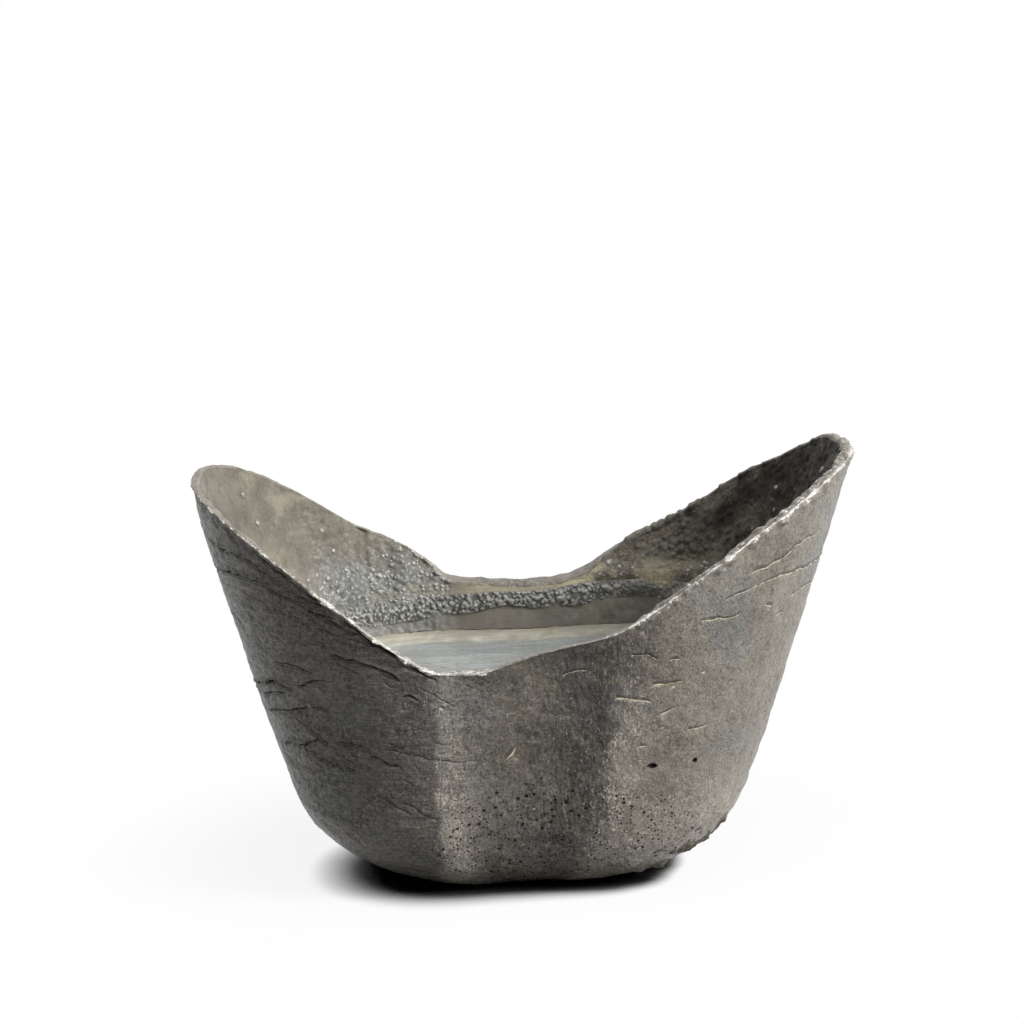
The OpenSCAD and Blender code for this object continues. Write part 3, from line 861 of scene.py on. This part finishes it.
def tarnish():
    paint = new_paint("tarnished_silver")
    calm = paint.mark("calm")
    rub_and_light = paint.mark("rub_and_light")
    indoors = paint.mark("inside")
    streak = paint.mark("streak")
    paint.skin = paint.mix(paint.noise(13, 5, 0.62).remap(0.36, 0.64), SKIN_DARK, SKIN_LIGHT)
    paint.cover(paint.mark("cool") * 0.5, SKIN_COOL)
    # The calm left side darker, partly its own patina and partly painted shade on the side turned from the
    # key light
    paint.cover(calm * 0.6, SKIN_CALM_AND_SHADED)
    paint.cover(indoors * 0.65, SKIN_INSIDE)
    paint.shade(paint.noise(6, 4, 0.6, seed=33).remap(0.35, 0.65, 0.8, 1.2), indoors)

    # Grain at three sizes, fainter on the smooth inside
    quiet = indoors * calm
    fine = paint.noise(0.38, 3, 0.7, seed=3)
    grit = paint.noise(0.75, 5, 0.7, seed=7)
    patchy = paint.noise(2.2, 6, 0.75, seed=4)
    loud = quiet.remap(0, 1, 1, 0.3)
    swing = fine.remap(0.3, 0.7, -1, 1) * (calm.remap(0, 1, 0.36, 0.42) * loud)
    paint.shade(swing + 1.0)
    paint.shade(patchy.remap(0.3, 0.7, 0.86, 1.14))
    paint.cover(grit.remap(0.42, 0.36) * loud.remap(0, 1, 0, 0.35), FLECK_AND_SHADOW)
    # Bright specks, painted glints on the grain
    paint.cover(grit.remap(0.6, 0.68) * loud.remap(0, 1, 0, 0.3), SPECK_GLINT)

    # Upright streaks of painted shade on the waist, level brushed ones on the left
    upright = paint.noise(0.5, 4, 0.6, (1, 1, 12), 31).remap(0.35, 0.65)
    paint.cover(streak * upright * 0.85, STREAK_AND_SHADE)
    brushed = paint.noise(0.3, 3, 0.6, (14, 14, 1), 21)
    paint.shade(brushed.remap(0.3, 0.7, 0.66, 1.34), calm - quiet)

    # Fine wrinkles in patches
    folds = abs(paint.noise(2.0, 5, 0.68, seed=41) - 0.5)
    folded = paint.noise(7, 3, 0.6, seed=42).remap(0.42, 0.56)
    folded = folded * paint.axis("X").remap(18 * MM, 34 * MM, 1, 0.3)
    wrinkles = folds.remap(0.004, 0.02, 1, 0) * (folded * loud)
    paint.cover(wrinkles * 0.5, WRINKLE)

    # Specks and threads of bright metal, partly bare metal and partly painted glints, most where the skin is
    # rubbed and painted lighter
    wavy = abs(paint.noise(1.6, 4, 0.6, (1, 1, 2.5), 9) - 0.5)
    threads = wavy.remap(0.004, 0.02, 1, 0) * rub_and_light.remap(0, 1, 0.05, 0.5)
    speck_floor = rub_and_light.maximum(streak * 0.4).remap(0, 1, 0.68, 0.5)
    bright = (paint.noise(0.34, 2, 0.6, (1, 1, 1.8), 14) - speck_floor).remap(0, 0.05, 0, 0.75)
    clumped = paint.noise(1.5, 3, 0.6, (1, 1, 5), 16).remap(0.4, 0.6, 0.25, 1)
    fibres_and_glints = (bright * clumped).maximum(threads) * loud
    # Rubbed wear, with painted highlight along the ridge and crease and painted bounce light low on the right
    paint.cover(rub_and_light * 0.6, RUBBED_AND_LIT)
    paint.cover(fibres_and_glints, FIBRE_AND_GLINT)

    # Pinholes, small and close or larger and few
    pinhole = paint.mark("pitted").remap(0.15, 0.5) * paint.dots(0.6, 0.42).maximum(paint.dots(1.7, 0.25))
    paint.cover(pinhole, PINHOLE)

    # Chilled grains in the inner corner, with a painted highlight on each dome
    grainy = paint.mark("grainy")
    domes = grainy * Value(paint, paint.cells(0.9), "Distance").remap(0.1, 0.6, 1, 0)
    paint.cover(grainy * 0.7, GRAIN_LOW)
    paint.cover(domes * 0.6, GRAIN_HIGHLIGHT)

    # Soil, painted highlights on bead crowns and a lightened basin wall, and soot with painted shade
    speckle = paint.noise(0.6, 4, 0.7, seed=18).remap(0.42, 0.58)
    soil = paint.mark("soil") * speckle.maximum(indoors * 0.9)
    paint.cover(soil * 0.92, SOIL)
    paint.cover(paint.mark("lit_crown") * 0.45, LIT_CROWN)
    soot_and_shade = paint.mark("soot_and_shade") * patchy.remap(0.38, 0.58, 1.05, 0.8)
    paint.cover(soot_and_shade, SOOT_AND_SHADE)

    # Laps, drawn from the distance to each one's line, with painted shade and painted highlights along them
    crack_w = paint.noise(1.5, 3, 0.6, seed=26).remap(0.4, 0.62, 0.05, 0.16)
    pale_gap = paint.mark("pale_gap")
    pale_on = paint.mark("pale_on").remap(0.1, 0.4)
    # Painted shadow under each pale lap
    under = pale_gap.remap(-0.6, -0.4) * pale_gap.remap(-0.1, 0)
    paint.cover(under * pale_on * 0.55, FLECK_AND_SHADOW)
    pale = (abs(pale_gap) / crack_w).remap(0.65, 1.3, 1, 0) * pale_on
    paint.cover(pale, PALE_LAP)
    dark_gap = paint.mark("dark_gap")
    dark_on = paint.mark("dark_on").remap(0.05, 0.9)
    # Painted shade in the dark laps' cracks; the seam and gas holes are drawn dark too
    crack = (abs(dark_gap) / crack_w).remap(0.5, 1.0, 1, 0)
    dark = (crack * dark_on).maximum(paint.mark("dark").remap(0.4, 0.7))
    # Painted highlight on each dark lap's lower lip
    lip = dark_gap.remap(-0.5, -0.25) * dark_gap.remap(-0.22, -0.12, 1, 0)
    paint.cover(lip * dark_on * 0.35, LAP_LIP_HIGHLIGHT)
    paint.cover(dark, DARK_LAP)

    # Rim: brown metal on top, bare in streaks and along its ragged outer edge
    polish = paint.mark("polish")
    edge = paint.mark("edge") + (paint.noise(0.8, 5, 0.7, seed=5) - 0.5) * 0.9
    on_top = (edge - paint.mark("lip")).remap(0.1, -0.1) * edge.remap(-6.0, -5.0)
    paint.cover(on_top * 0.65, RIM_BROWN)
    line = abs(edge - polish.remap(0.8, 1, 0, 0.35)) / polish.remap(0, 1, *RIM_LINE_W)
    broken = paint.noise(2.2, 4, 0.65, seed=29) + polish.remap(0, 1, -0.12, 0.16)
    line = line.remap(0.5, 1.0, 1, 0) * broken.remap(0.4, 0.5) * fine.remap(0.4, 0.6, 0.45, 1)
    streaks = paint.noise(0.9, 5, 0.7, seed=28) + polish.remap(0, 1, -0.12, 0.02)
    wear = line.maximum(streaks.remap(0.53, 0.57) * on_top)
    paint.cover(wear, BARE_METAL)

    # Bumps, gloss and bare metal
    height = fine * 0.7 + patchy * 0.5 + grit * loud + brushed * calm.remap(0, 1, 0.25, 0.7) - wrinkles * 0.6
    height = height + paint.noise(1.3, 3, 0.6, seed=51) * ((indoors - quiet) * 1.3)
    height = height + upright * (streak * 0.2) + fibres_and_glints * 0.25 + domes * 1.2 - pinhole * 0.5 - dark * 0.6
    gloss = grit.remap(0.42, 0.65, 0.05, 0.4) * dark.remap(0, 1, 1, 0) * soot_and_shade.remap(0, 1, 1, 0.1)
    return paint.finish(
        Metallic=(wear * 0.9).maximum(fibres_and_glints.maximum(pale) * 0.5),
        Roughness=grit.remap(0.35, 0.65, 0.5, 0.3),
        Specular_IOR_Level=gloss,
        Normal=paint.bump(height, 0.3, quiet.remap(0, 1, 1.0, 0.35)),
        Coat_Weight=indoors.remap(0, 1, 0.18, 0),
        Coat_Roughness=0.18,
    )


def droplets():
    paint = new_paint("droplet_silver")
    fine = paint.noise(0.5, 5, 0.7).remap(0.3, 0.7)
    # Crowns painted light and the rest painted dark, as light falls on droplets and beads
    lit_crown = paint.mark("lit_crown") * fine.remap(0, 1, 0.4, 1)
    paint.skin = paint.mix(lit_crown, colour(0.15, 0.146, 0.132), colour(0.54, 0.53, 0.5))
    paint.cover(paint.mark("soil") * 0.85, colour(0.76, 0.66, 0.45))
    return paint.finish(
        Metallic=lit_crown.remap(0, 1, 0.0, 0.3), Roughness=fine.remap(0, 1, 0.42, 0.26), Specular_IOR_Level=0.5,
        Normal=paint.bump(fine, 0.08, 0.5),
    )


def ledge():
    paint = new_paint("ledge_silver")
    broad = paint.noise(5, 4).remap(0.35, 0.65)
    streak = paint.noise(1.1, 4, 0.6, (6, 6, 0.4), 2).remap(0.35, 0.65)
    paint.skin = paint.mix(broad, colour(0.55, 0.53, 0.43), colour(0.8, 0.77, 0.65))
    paint.cover(streak.remap(0, 1, 0.4, 0), colour(0.26, 0.25, 0.22))
    height = paint.axis("Z") + broad.remap(0, 1, -0.4 * MM, 0.4 * MM)
    # Painted shade, darker up the ledge towards the corner where it meets the wall
    corner_shade = height.remap(between(FLOOR_H, LEDGE_H, 0.5) * MM, LEDGE_H * MM, 0, 0.6)
    paint.cover(corner_shade, colour(0.3, 0.26, 0.19))
    return paint.finish(
        Metallic=0.05, Roughness=broad.remap(0, 1, 0.5, 0.4), Specular_IOR_Level=0.35,
        Normal=paint.bump(streak, 0.06, 0.35),
    )


def pool():
    paint = new_paint("floor_silver")
    broad = paint.noise(9, 4, 0.6, (2, 1, 1)).remap(0.35, 0.65)
    streak = paint.noise(1.6, 6, 0.72, (4, 1, 1), 4).remap(0.35, 0.65)
    fine = paint.noise(0.5, 4, 0.7, (1.6, 1, 1), 6)
    paint.skin = paint.mix(broad, colour(0.54, 0.57, 0.56), colour(0.76, 0.79, 0.77))
    paint.cover(streak.remap(0, 1, 0.5, 0), colour(0.23, 0.24, 0.24))
    paint.shade(fine.remap(0.3, 0.7, 0.7, 1.3))
    return paint.finish(
        Metallic=0.1, Roughness=streak.remap(0, 1, 0.5, 0.38), Specular_IOR_Level=0.4,
        Normal=paint.bump(streak + fine, 0.08, 0.5),
    )


def crust():
    paint = new_paint("mould_crust")
    fine = paint.noise(0.5, 5, 0.75, seed=2).remap(0.3, 0.7)
    broad = paint.noise(2.2, 5, 0.7).remap(0.35, 0.65)
    paint.skin = paint.mix(broad, colour(0.14, 0.125, 0.105), colour(0.29, 0.262, 0.222))
    paint.cover(fine.remap(0.6, 1, 0, 0.6), colour(0.4, 0.36, 0.3))
    return paint.finish(
        Metallic=0.0, Roughness=fine.remap(0, 1, 0.95, 0.75), Specular_IOR_Level=0.2,
        Normal=paint.bump(fine, 0.15, 0.7),
    )


silver = tarnish()
droplet_silver = droplets()


# Body: fine above, half as many columns round the bottom, closed at the foot's centre and on top
def body_piece():
    rows = slice(0, block_row + 1)

    def pick(values):
        part = values[rows]
        shape = (-1,) + part.shape[2:]
        return np.concatenate([part[:COARSE_ROWS, ::2].reshape(shape), part[COARSE_ROWS:].reshape(shape)])

    fine_rows = block_row + 1 - COARSE_ROWS
    low_n = columns // 2
    first = COARSE_ROWS * low_n
    faces = grid_faces(COARSE_ROWS, low_n, loop_columns=True)
    faces += (np.array(grid_faces(fine_rows, columns, loop_columns=True)) + first).tolist()
    last_low = first - low_n
    for i in range(low_n):
        after = (i + 1) % low_n
        joint = [last_low + i, last_low + after]
        faces.append(joint + [first + 2 * after, first + 2 * i + 1, first + 2 * i])
    faces.append(list(range(low_n))[::-1])
    top = first + (fine_rows - 1) * columns
    faces.append(list(range(top, top + columns)))
    attributes = {name: pick(values) for name, values in marks.items()}
    make_piece("casting_body", "body_block", silver, pick(surface), faces,
               pick(surface_normals), attributes)


def wall_piece(name, node, first, count):
    """One stretch of wall, closed underneath and at both ends."""
    block = np.ix_(np.arange(block_row, total_rows), np.arange(first, first + count + 1) % columns)
    points = surface[block]
    rows, wide = points.shape[:2]
    faces = grid_faces(rows, wide, loop_rows=True)
    faces.append([row * wide for row in range(rows)])
    faces.append([row * wide + wide - 1 for row in reversed(range(rows))])
    attributes = {key: values[block] for key, values in marks.items()}
    make_piece(name, node, silver, points, faces, surface_normals[block], attributes)


body_piece()
wall_piece("ear_right", "right_ear", 0, EAR_COLUMNS)
wall_piece("lip_back", "back_lip", EAR_COLUMNS, BACK_COLUMNS)
wall_piece("ear_left", "left_ear", EAR_COLUMNS + BACK_COLUMNS, EAR_COLUMNS)
wall_piece("lip_front", "front_lip", 2 * EAR_COLUMNS + BACK_COLUMNS, FRONT_COLUMNS)

# Floor and its ledge
POOL_RINGS = 60
POOL_STEP = 2
POOL_START = 0.015
LEDGE_ROWS = 14


def at_height(points, height):
    return points * (1, 1, 0) + (0, 0, height)


def floor_piece():
    edge = outline.spot(LEDGE_H, BASIN_WALL_T + LEDGE_W)[::POOL_STEP]
    shares = np.linspace(POOL_START, 1, POOL_RINGS)[:, None, None]
    top = at_height(edge * shares, FLOOR_H)
    swell = 0.12 * fractal(top, (18, 6, 6), 3, 51) + 0.05 * fractal(top, (9, 0.9, 1), 3, 52) - 0.12
    top[..., 2] += np.minimum(swell, 0) * ramp(1 - shares[..., 0], 0, 0.03)
    points = np.concatenate([at_height(edge, BLOCK_H)[None], top[::-1]])
    rows, wide = points.shape[:2]
    faces = grid_faces(rows, wide, loop_columns=True)
    faces.append([(rows - 1) * wide + i for i in range(wide)])
    faces.append(list(range(wide))[::-1])
    normals = grid_normals(points)
    normals[1] = normals[2]
    make_piece("floor_skin", "floor_pool", pool(), points, faces, normals)


def ledge_piece():
    inner = outline.spot(LEDGE_H, BASIN_WALL_T + LEDGE_W)
    outer = outline.spot(LEDGE_H, BASIN_WALL_T)
    share = np.linspace(0, 1, LEDGE_ROWS)[:, None, None]
    slope = between(inner, outer, share)
    slope[..., 2] = between(FLOOR_H, LEDGE_H, share[..., 0])
    wave = 0.16 * fractal(slope, 3, 3, 61) + 0.2 * (share[..., 0] - share[..., 0] ** 2)
    slope[1:-1, :, 2] += wave[1:-1]
    points = np.concatenate([at_height(outer, BLOCK_H)[None], slope[::-1], at_height(inner, BLOCK_H)[None]])
    faces = grid_faces(len(points), columns, loop_rows=True, loop_columns=True)
    normals = grid_normals(points, True)
    make_piece("floor_step", "floor_ledge", ledge(), points, faces, normals)


floor_piece()
ledge_piece()

# Collar: a thin band packed with beads, smoother and soiled at the back right
COLLAR_ROWS = 28
COLLAR_DENSITY = 2
COLLAR_BEADS = 3400
COLLAR_BEAD_R = (0.2, 0.6)
COLLAR_BEAD_DOWN = (0.55, 0.33)
COLLAR_BEAD_LIMITS = (0.06, 0.94)
COLLAR_SEAT = 0.1
COLLAR_SINK = 0.3


def collar_piece():
    ring = outline_of(COLLAR_DENSITY)
    ring_shelf, ring_low = shelf_of(ring, shaped_rim(ring))
    drip = 0.6 + 0.9 * fractal(ring.spot(ring_low, SHELF_T), 5, 3, 71)
    down = np.linspace(0, 1, COLLAR_ROWS)[:, None]
    heights = between(ring_shelf, np.maximum(ring_low - drip, LEDGE_H), down)
    seat = ring.spot(heights, between(SHELF_T, seat_t, down))
    seat = round_smooth(seat, COLLAR_DENSITY * CREASE_SOFTNESS)
    # Painted highlight marked on the beads' crowns, fainter where the collar is smooth
    lit_crown = np.zeros(seat.shape[:2])
    bulge = np.zeros(seat.shape[:2])
    for _ in range(COLLAR_BEADS):
        row = int(np.clip(rng.normal(*COLLAR_BEAD_DOWN), *COLLAR_BEAD_LIMITS) * COLLAR_ROWS)
        column = rng.integers(seat.shape[1])
        raise_bead(bulge, seat, row, column, between(*COLLAR_BEAD_R, rng.beta(1, 2)), 1.0, lit_crown)
    smooth = ramp(seat[..., 0], 14, 22) * ramp(seat[..., 1], 0, 10)
    swell = 0.3 * np.sin(math.pi * down) + 0.1 * fractal(seat, 1.2, 2, 72)
    swell = swell + 0.15 * smooth * np.sin(math.pi * down**1.5)
    thick = np.clip(bulge * (1 - 0.5 * smooth) + swell, 0, COLLAR_T)
    thick = thick * ramp(np.sin(math.pi * down), 0, 0.2) + COLLAR_SEAT
    lit_crown *= 1 - 0.75 * smooth
    soil = smooth * (1 - ramp(seat[..., 0], 36, 44))
    soil *= 1 - ramp(down + 0.5 * fractal(seat, 4, 3, 73), 0.1, 0.7)
    facing = grid_normals(seat)
    behind = seat[[-1, 0]] - COLLAR_SINK * facing[[-1, 0]]
    points = np.concatenate([seat + facing * thick[..., None], behind])
    attributes = {"lit_crown": lit_crown, "soil": soil}
    attributes = {key: np.concatenate([values, values[[-1, 0]]]) for key, values in attributes.items()}
    faces = grid_faces(len(points), seat.shape[1], loop_rows=True, loop_columns=True)
    make_piece("bead_band", "bead_collar", droplet_silver, points, faces,
               grid_normals(points, True), attributes)


collar_piece()

# Droplets of silver on the inner walls
DROPLET_LUMPS = 0.12
DROPLET_SQUASH = 0.25


class Droplets:
    """Lumpy, flattened droplets that are part sunk in their wall, gathered into one piece."""

    def __init__(self):
        self.points = []
        self.faces = []
        self.lit_crown = []
        self.count = 0

    def add(self, row, column, radius, detail, sink):
        centre = surface[row, column]
        out = surface_normals[row, column]
        ball = bmesh.new()
        bmesh.ops.create_icosphere(ball, subdivisions=detail, radius=1)
        points = np.array([vertex.co[:] for vertex in ball.verts])
        faces = np.array([[vertex.index for vertex in face.verts] for face in ball.faces])
        ball.free()
        points *= (1 + DROPLET_LUMPS * fractal(points + 5 * centre, 0.9, 2, 81))[:, None]
        outward = points @ out
        points = centre + radius * (points - DROPLET_SQUASH * outward[:, None] * out - sink * out)
        self.points.append(points)
        self.faces.append(faces + self.count)
        # The side that stands out from the wall is marked for a painted highlight
        self.lit_crown.append(ramp(outward, sink - 0.1, 0.9))
        self.count += len(points)

    def make(self, name, node):
        attributes = {"lit_crown": np.concatenate(self.lit_crown)}
        make_piece(name, node, droplet_silver, np.concatenate(self.points),
                   np.concatenate(self.faces).tolist(), None, attributes)


# Grains that the collar throws up the wall, most behind the left corner: places, height over the shelf, count
GRAIN_ZONES = [((1.97, 2.14), 9.0, 190), ((2.1, 2.32), 6.0, 170), ((0.8, 1.0), 4.0, 60)]
GRAIN_R = (0.2, 0.75)
GRAIN_DETAIL = 2
GRAIN_SINK = 0.4


def grain_piece():
    drops = Droplets()
    wall = slice(span["inner"].start, span["seat"].stop)
    for places, top, count in GRAIN_ZONES:
        choice = columns_in(*places)
        for _ in range(count):
            column = rng.choice(choice)
            height = between(collar_low_h[column], root_h[column] + top, rng.beta(1, 1.6))
            radius = between(*GRAIN_R, rng.beta(1.2, 2.5))
            drops.add(row_at(wall, column, height), column, radius, GRAIN_DETAIL, GRAIN_SINK)
    drops.make("bead_grains", "bead_collar")


# Spattered droplets on the ears, as the part's source spreads them
SPATTER_DETAIL = 3
SPATTER_SINK = 0.1


def spread(i, step):
    return BEAD_MARGIN + (1 - 2 * BEAD_MARGIN) * ((i + 1) * step % 1)


def spatter_piece():
    drops = Droplets()
    inner = span["inner"]
    for side, i in itertools.product((RIGHT, LEFT), range(BEADS_PER_EAR)):
        column = int(np.argmin(np.abs(outline.places - side - spread(i, BEAD_STEPS[0]))))
        row = inner.stop - 1 - int(spread(i, BEAD_STEPS[1]) * (INNER_ROWS - 1))
        radius = between(*BEAD_D, i * BEAD_STEPS[0] % 1) / 2
        drops.add(row, column, radius, SPATTER_DETAIL, SPATTER_SINK)
    drops.make("spatter", "spatter_beads")


grain_piece()
spatter_piece()

# Crust of mould sand on the right end of the foot
CRUST_SINK = 0.5
CRUST_EDGE = 0.25
CRUST_LOW = 0.05


def crust_piece():
    places = np.flatnonzero((outline.places >= CRUST_SPAN[0]) & (outline.places <= CRUST_SPAN[1]))
    heights = base[: block_row + 1, places[0], 2]
    rows = np.flatnonzero((heights >= CRUST_HEIGHTS[0]) & (heights <= CRUST_HEIGHTS[1]))
    block = np.ix_(rows, places)
    wall = surface[block]
    out = surface_normals[block]
    share_s = np.linspace(-1, 1, len(places))
    share_z = np.linspace(-1, 1, len(rows))[:, None]
    window = 1 - np.maximum(share_s**4, share_z**4) - 0.35 * (share_z + 1) * 0.5
    clumps = fractal(wall, 4, 4, 91) + 0.5 * np.abs(fractal(wall, 1.2, 2, 92))
    thick = np.clip(CRUST_T * (0.4 * clumps + 0.35 * window - 0.5), -CRUST_EDGE, CRUST_T)
    thick[[0, -1]] = -CRUST_EDGE
    thick[:, [0, -1]] = -CRUST_EDGE
    top = wall + out * thick[..., None]
    top[..., 2] = np.maximum(top[..., 2], CRUST_LOW)
    under = wall - CRUST_SINK * out
    wide = len(places)
    faces = grid_faces(len(rows), wide)
    shift = len(rows) * wide
    faces += [[corner + shift for corner in reversed(face)] for face in faces]
    last = shift - wide
    ring = list(range(wide)) + [row * wide + wide - 1 for row in range(1, len(rows))]
    ring += list(range(last, last + wide - 1))[::-1] + [row * wide for row in range(len(rows) - 2, 0, -1)]
    for here, after in zip(ring, ring[1:] + ring[:1]):
        faces.append([after, here, here + shift, after + shift])
    make_piece("crust", "foot_crust", crust(), np.concatenate([top, under]), faces)


crust_piece()

# Floor, which is white to the camera and in reflections and keeps the shadow, with a contact shadow painted
# from ambient occlusion, in metres
FLOOR_HALF = 30.0
FLOOR_DROP = 0.05 * MM
FLOOR_GREY = colour(0.33, 0.33, 0.33)
PAINTED_CONTACT_SHADOW = colour(0.02, 0.02, 0.02)
PAPER_LIGHT = colour(1.15, 1.15, 1.15)
WHITE = colour(1, 1, 1)
CONTACT_SPAN = (-2 * MM, 31 * MM)
CONTACT_REACH = (10 * MM, 2.5 * MM)
CONTACT_CLEAR = (0.3, 0.85)
CONTACT_SAMPLES = 16
SHADOW_MIDDLE = (0.0, 0.015, 0.0)
SHADOW_FADE = (0.05, 0.088)
SHADOW_WHITE = 0.9
WORLD_FILL = 0.04


def seen_directly(paint):
    """One for camera, glossy and transmission rays."""
    path = paint.node("ShaderNodeLightPath")
    rays = [Value(paint, path, f"Is {kind} Ray") for kind in ("Camera", "Glossy", "Transmission")]
    return functools.reduce(Value.maximum, rays)


def floor_paint():
    paint = new_paint("ground")
    # Contact shadow painted into the floor's colour from ambient occlusion, reaching less far on the right
    reach = paint.axis("X").remap(*CONTACT_SPAN, *CONTACT_REACH)
    shade = paint.node("ShaderNodeAmbientOcclusion", {"Distance": reach}, samples=CONTACT_SAMPLES)
    clear = Value(paint, shade, "AO").remap(*CONTACT_CLEAR)
    from_middle = {0: paint.place, 1: SHADOW_MIDDLE}
    away = Value(paint, paint.node("ShaderNodeVectorMath", from_middle, operation="DISTANCE"), "Value")
    white = clear * away.remap(*SHADOW_FADE, SHADOW_WHITE, 1.0)
    glow = paint.node("ShaderNodeEmission", {"Color": WHITE, "Strength": 1.0})
    lit = paint.node("ShaderNodeBsdfDiffuse", {"Color": paint.mix(clear, PAINTED_CONTACT_SHADOW, PAPER_LIGHT)})
    grey = paint.node("ShaderNodeBsdfDiffuse", {"Color": FLOOR_GREY})
    shown = paint.node("ShaderNodeMixShader", {0: white, 1: lit.outputs[0], 2: glow.outputs[0]})
    shares = {0: seen_directly(paint), 1: grey.outputs[0], 2: shown.outputs[0]}
    whole = paint.node("ShaderNodeMixShader", shares)
    paint.node("ShaderNodeOutputMaterial", {"Surface": whole.outputs[0]})
    return paint.owner


def lay_floor():
    mesh = bpy.data.meshes.new("ground")
    corners = [(-1, -1, 0), (1, -1, 0), (1, 1, 0), (-1, 1, 0)]
    mesh.from_pydata(FLOOR_HALF * np.array(corners), [], [(0, 1, 2, 3)])
    mesh.materials.append(floor_paint())
    floor = bpy.data.objects.new("ground", mesh)
    floor.location.z = -FLOOR_DROP
    bpy.context.collection.objects.link(floor)


def set_surround():
    world = bpy.data.worlds.new("surround")
    bpy.context.scene.world = world
    paint = Paint(world)
    strength = seen_directly(paint).remap(0, 1, WORLD_FILL, 1.0)
    sky = paint.node("ShaderNodeBackground", {"Color": WHITE, "Strength": strength})
    paint.node("ShaderNodeOutputWorld", {"Surface": sky.outputs[0]})


lay_floor()
set_surround()

# Lights, a key from the right and a soft one overhead: name, direction, distance, size, level
TARGET = Vector((0.0, 0.0, 0.04))
LIGHTS = [
    ("key", (0.78, -0.42, 0.47), 1.0, 0.35, 1.05),
    ("overhead", (0.1, -0.2, 1.0), 1.0, 0.7, 0.3),
]


def add_light(name, direction, distance, size, level):
    """A square light; at level 1 a surface that faces it renders in about its own colour."""
    lamp = bpy.data.lights.new(name, "AREA")
    lamp.size = size
    lamp.energy = level * (math.pi * distance) ** 2
    light = bpy.data.objects.new(name, lamp)
    back = Vector(direction).normalized()
    turned = (-back).to_track_quat("-Z", "Y").to_matrix().to_4x4()
    light.matrix_world = Matrix.Translation(TARGET + distance * back) @ turned
    bpy.context.collection.objects.link(light)


for facts in LIGHTS:
    add_light(*facts)

# Camera, fitted to the photograph; the ingot's small lean in the picture is the camera's roll
PICTURE_PX = 1024
FOCAL_PX = 3566.4
FOOT_PX = (532.05, 859.84)
SENSOR_MM = 36.0
CLIP_START = 0.01
CAMERA_ELEVATION = math.radians(15.14)
CAMERA_ROLL = math.radians(2.372)
CAMERA_DISTANCE = 0.66


def photo_camera():
    camera = bpy.data.objects.new("camera", bpy.data.cameras.new("camera"))
    camera.data.sensor_width = SENSOR_MM
    camera.data.lens = FOCAL_PX * SENSOR_MM / PICTURE_PX
    camera.data.clip_start = CLIP_START
    tip = math.atan((FOOT_PX[1] - PICTURE_PX / 2) / FOCAL_PX)
    pan = math.atan((FOOT_PX[0] - PICTURE_PX / 2) * math.cos(tip) / FOCAL_PX)
    aim = Matrix.Rotation(CAMERA_ROLL, 4, "Y") @ Matrix.Rotation(math.pi / 2 - CAMERA_ELEVATION, 4, "X")
    swing = Matrix.Rotation(tip, 4, "X") @ Matrix.Rotation(pan, 4, "Y")
    camera.matrix_world = aim @ Matrix.Translation((0, 0, CAMERA_DISTANCE)) @ swing
    bpy.context.collection.objects.link(camera)
    bpy.context.scene.camera = camera


photo_camera()
bpy.context.scene.view_settings.view_transform = "Standard"
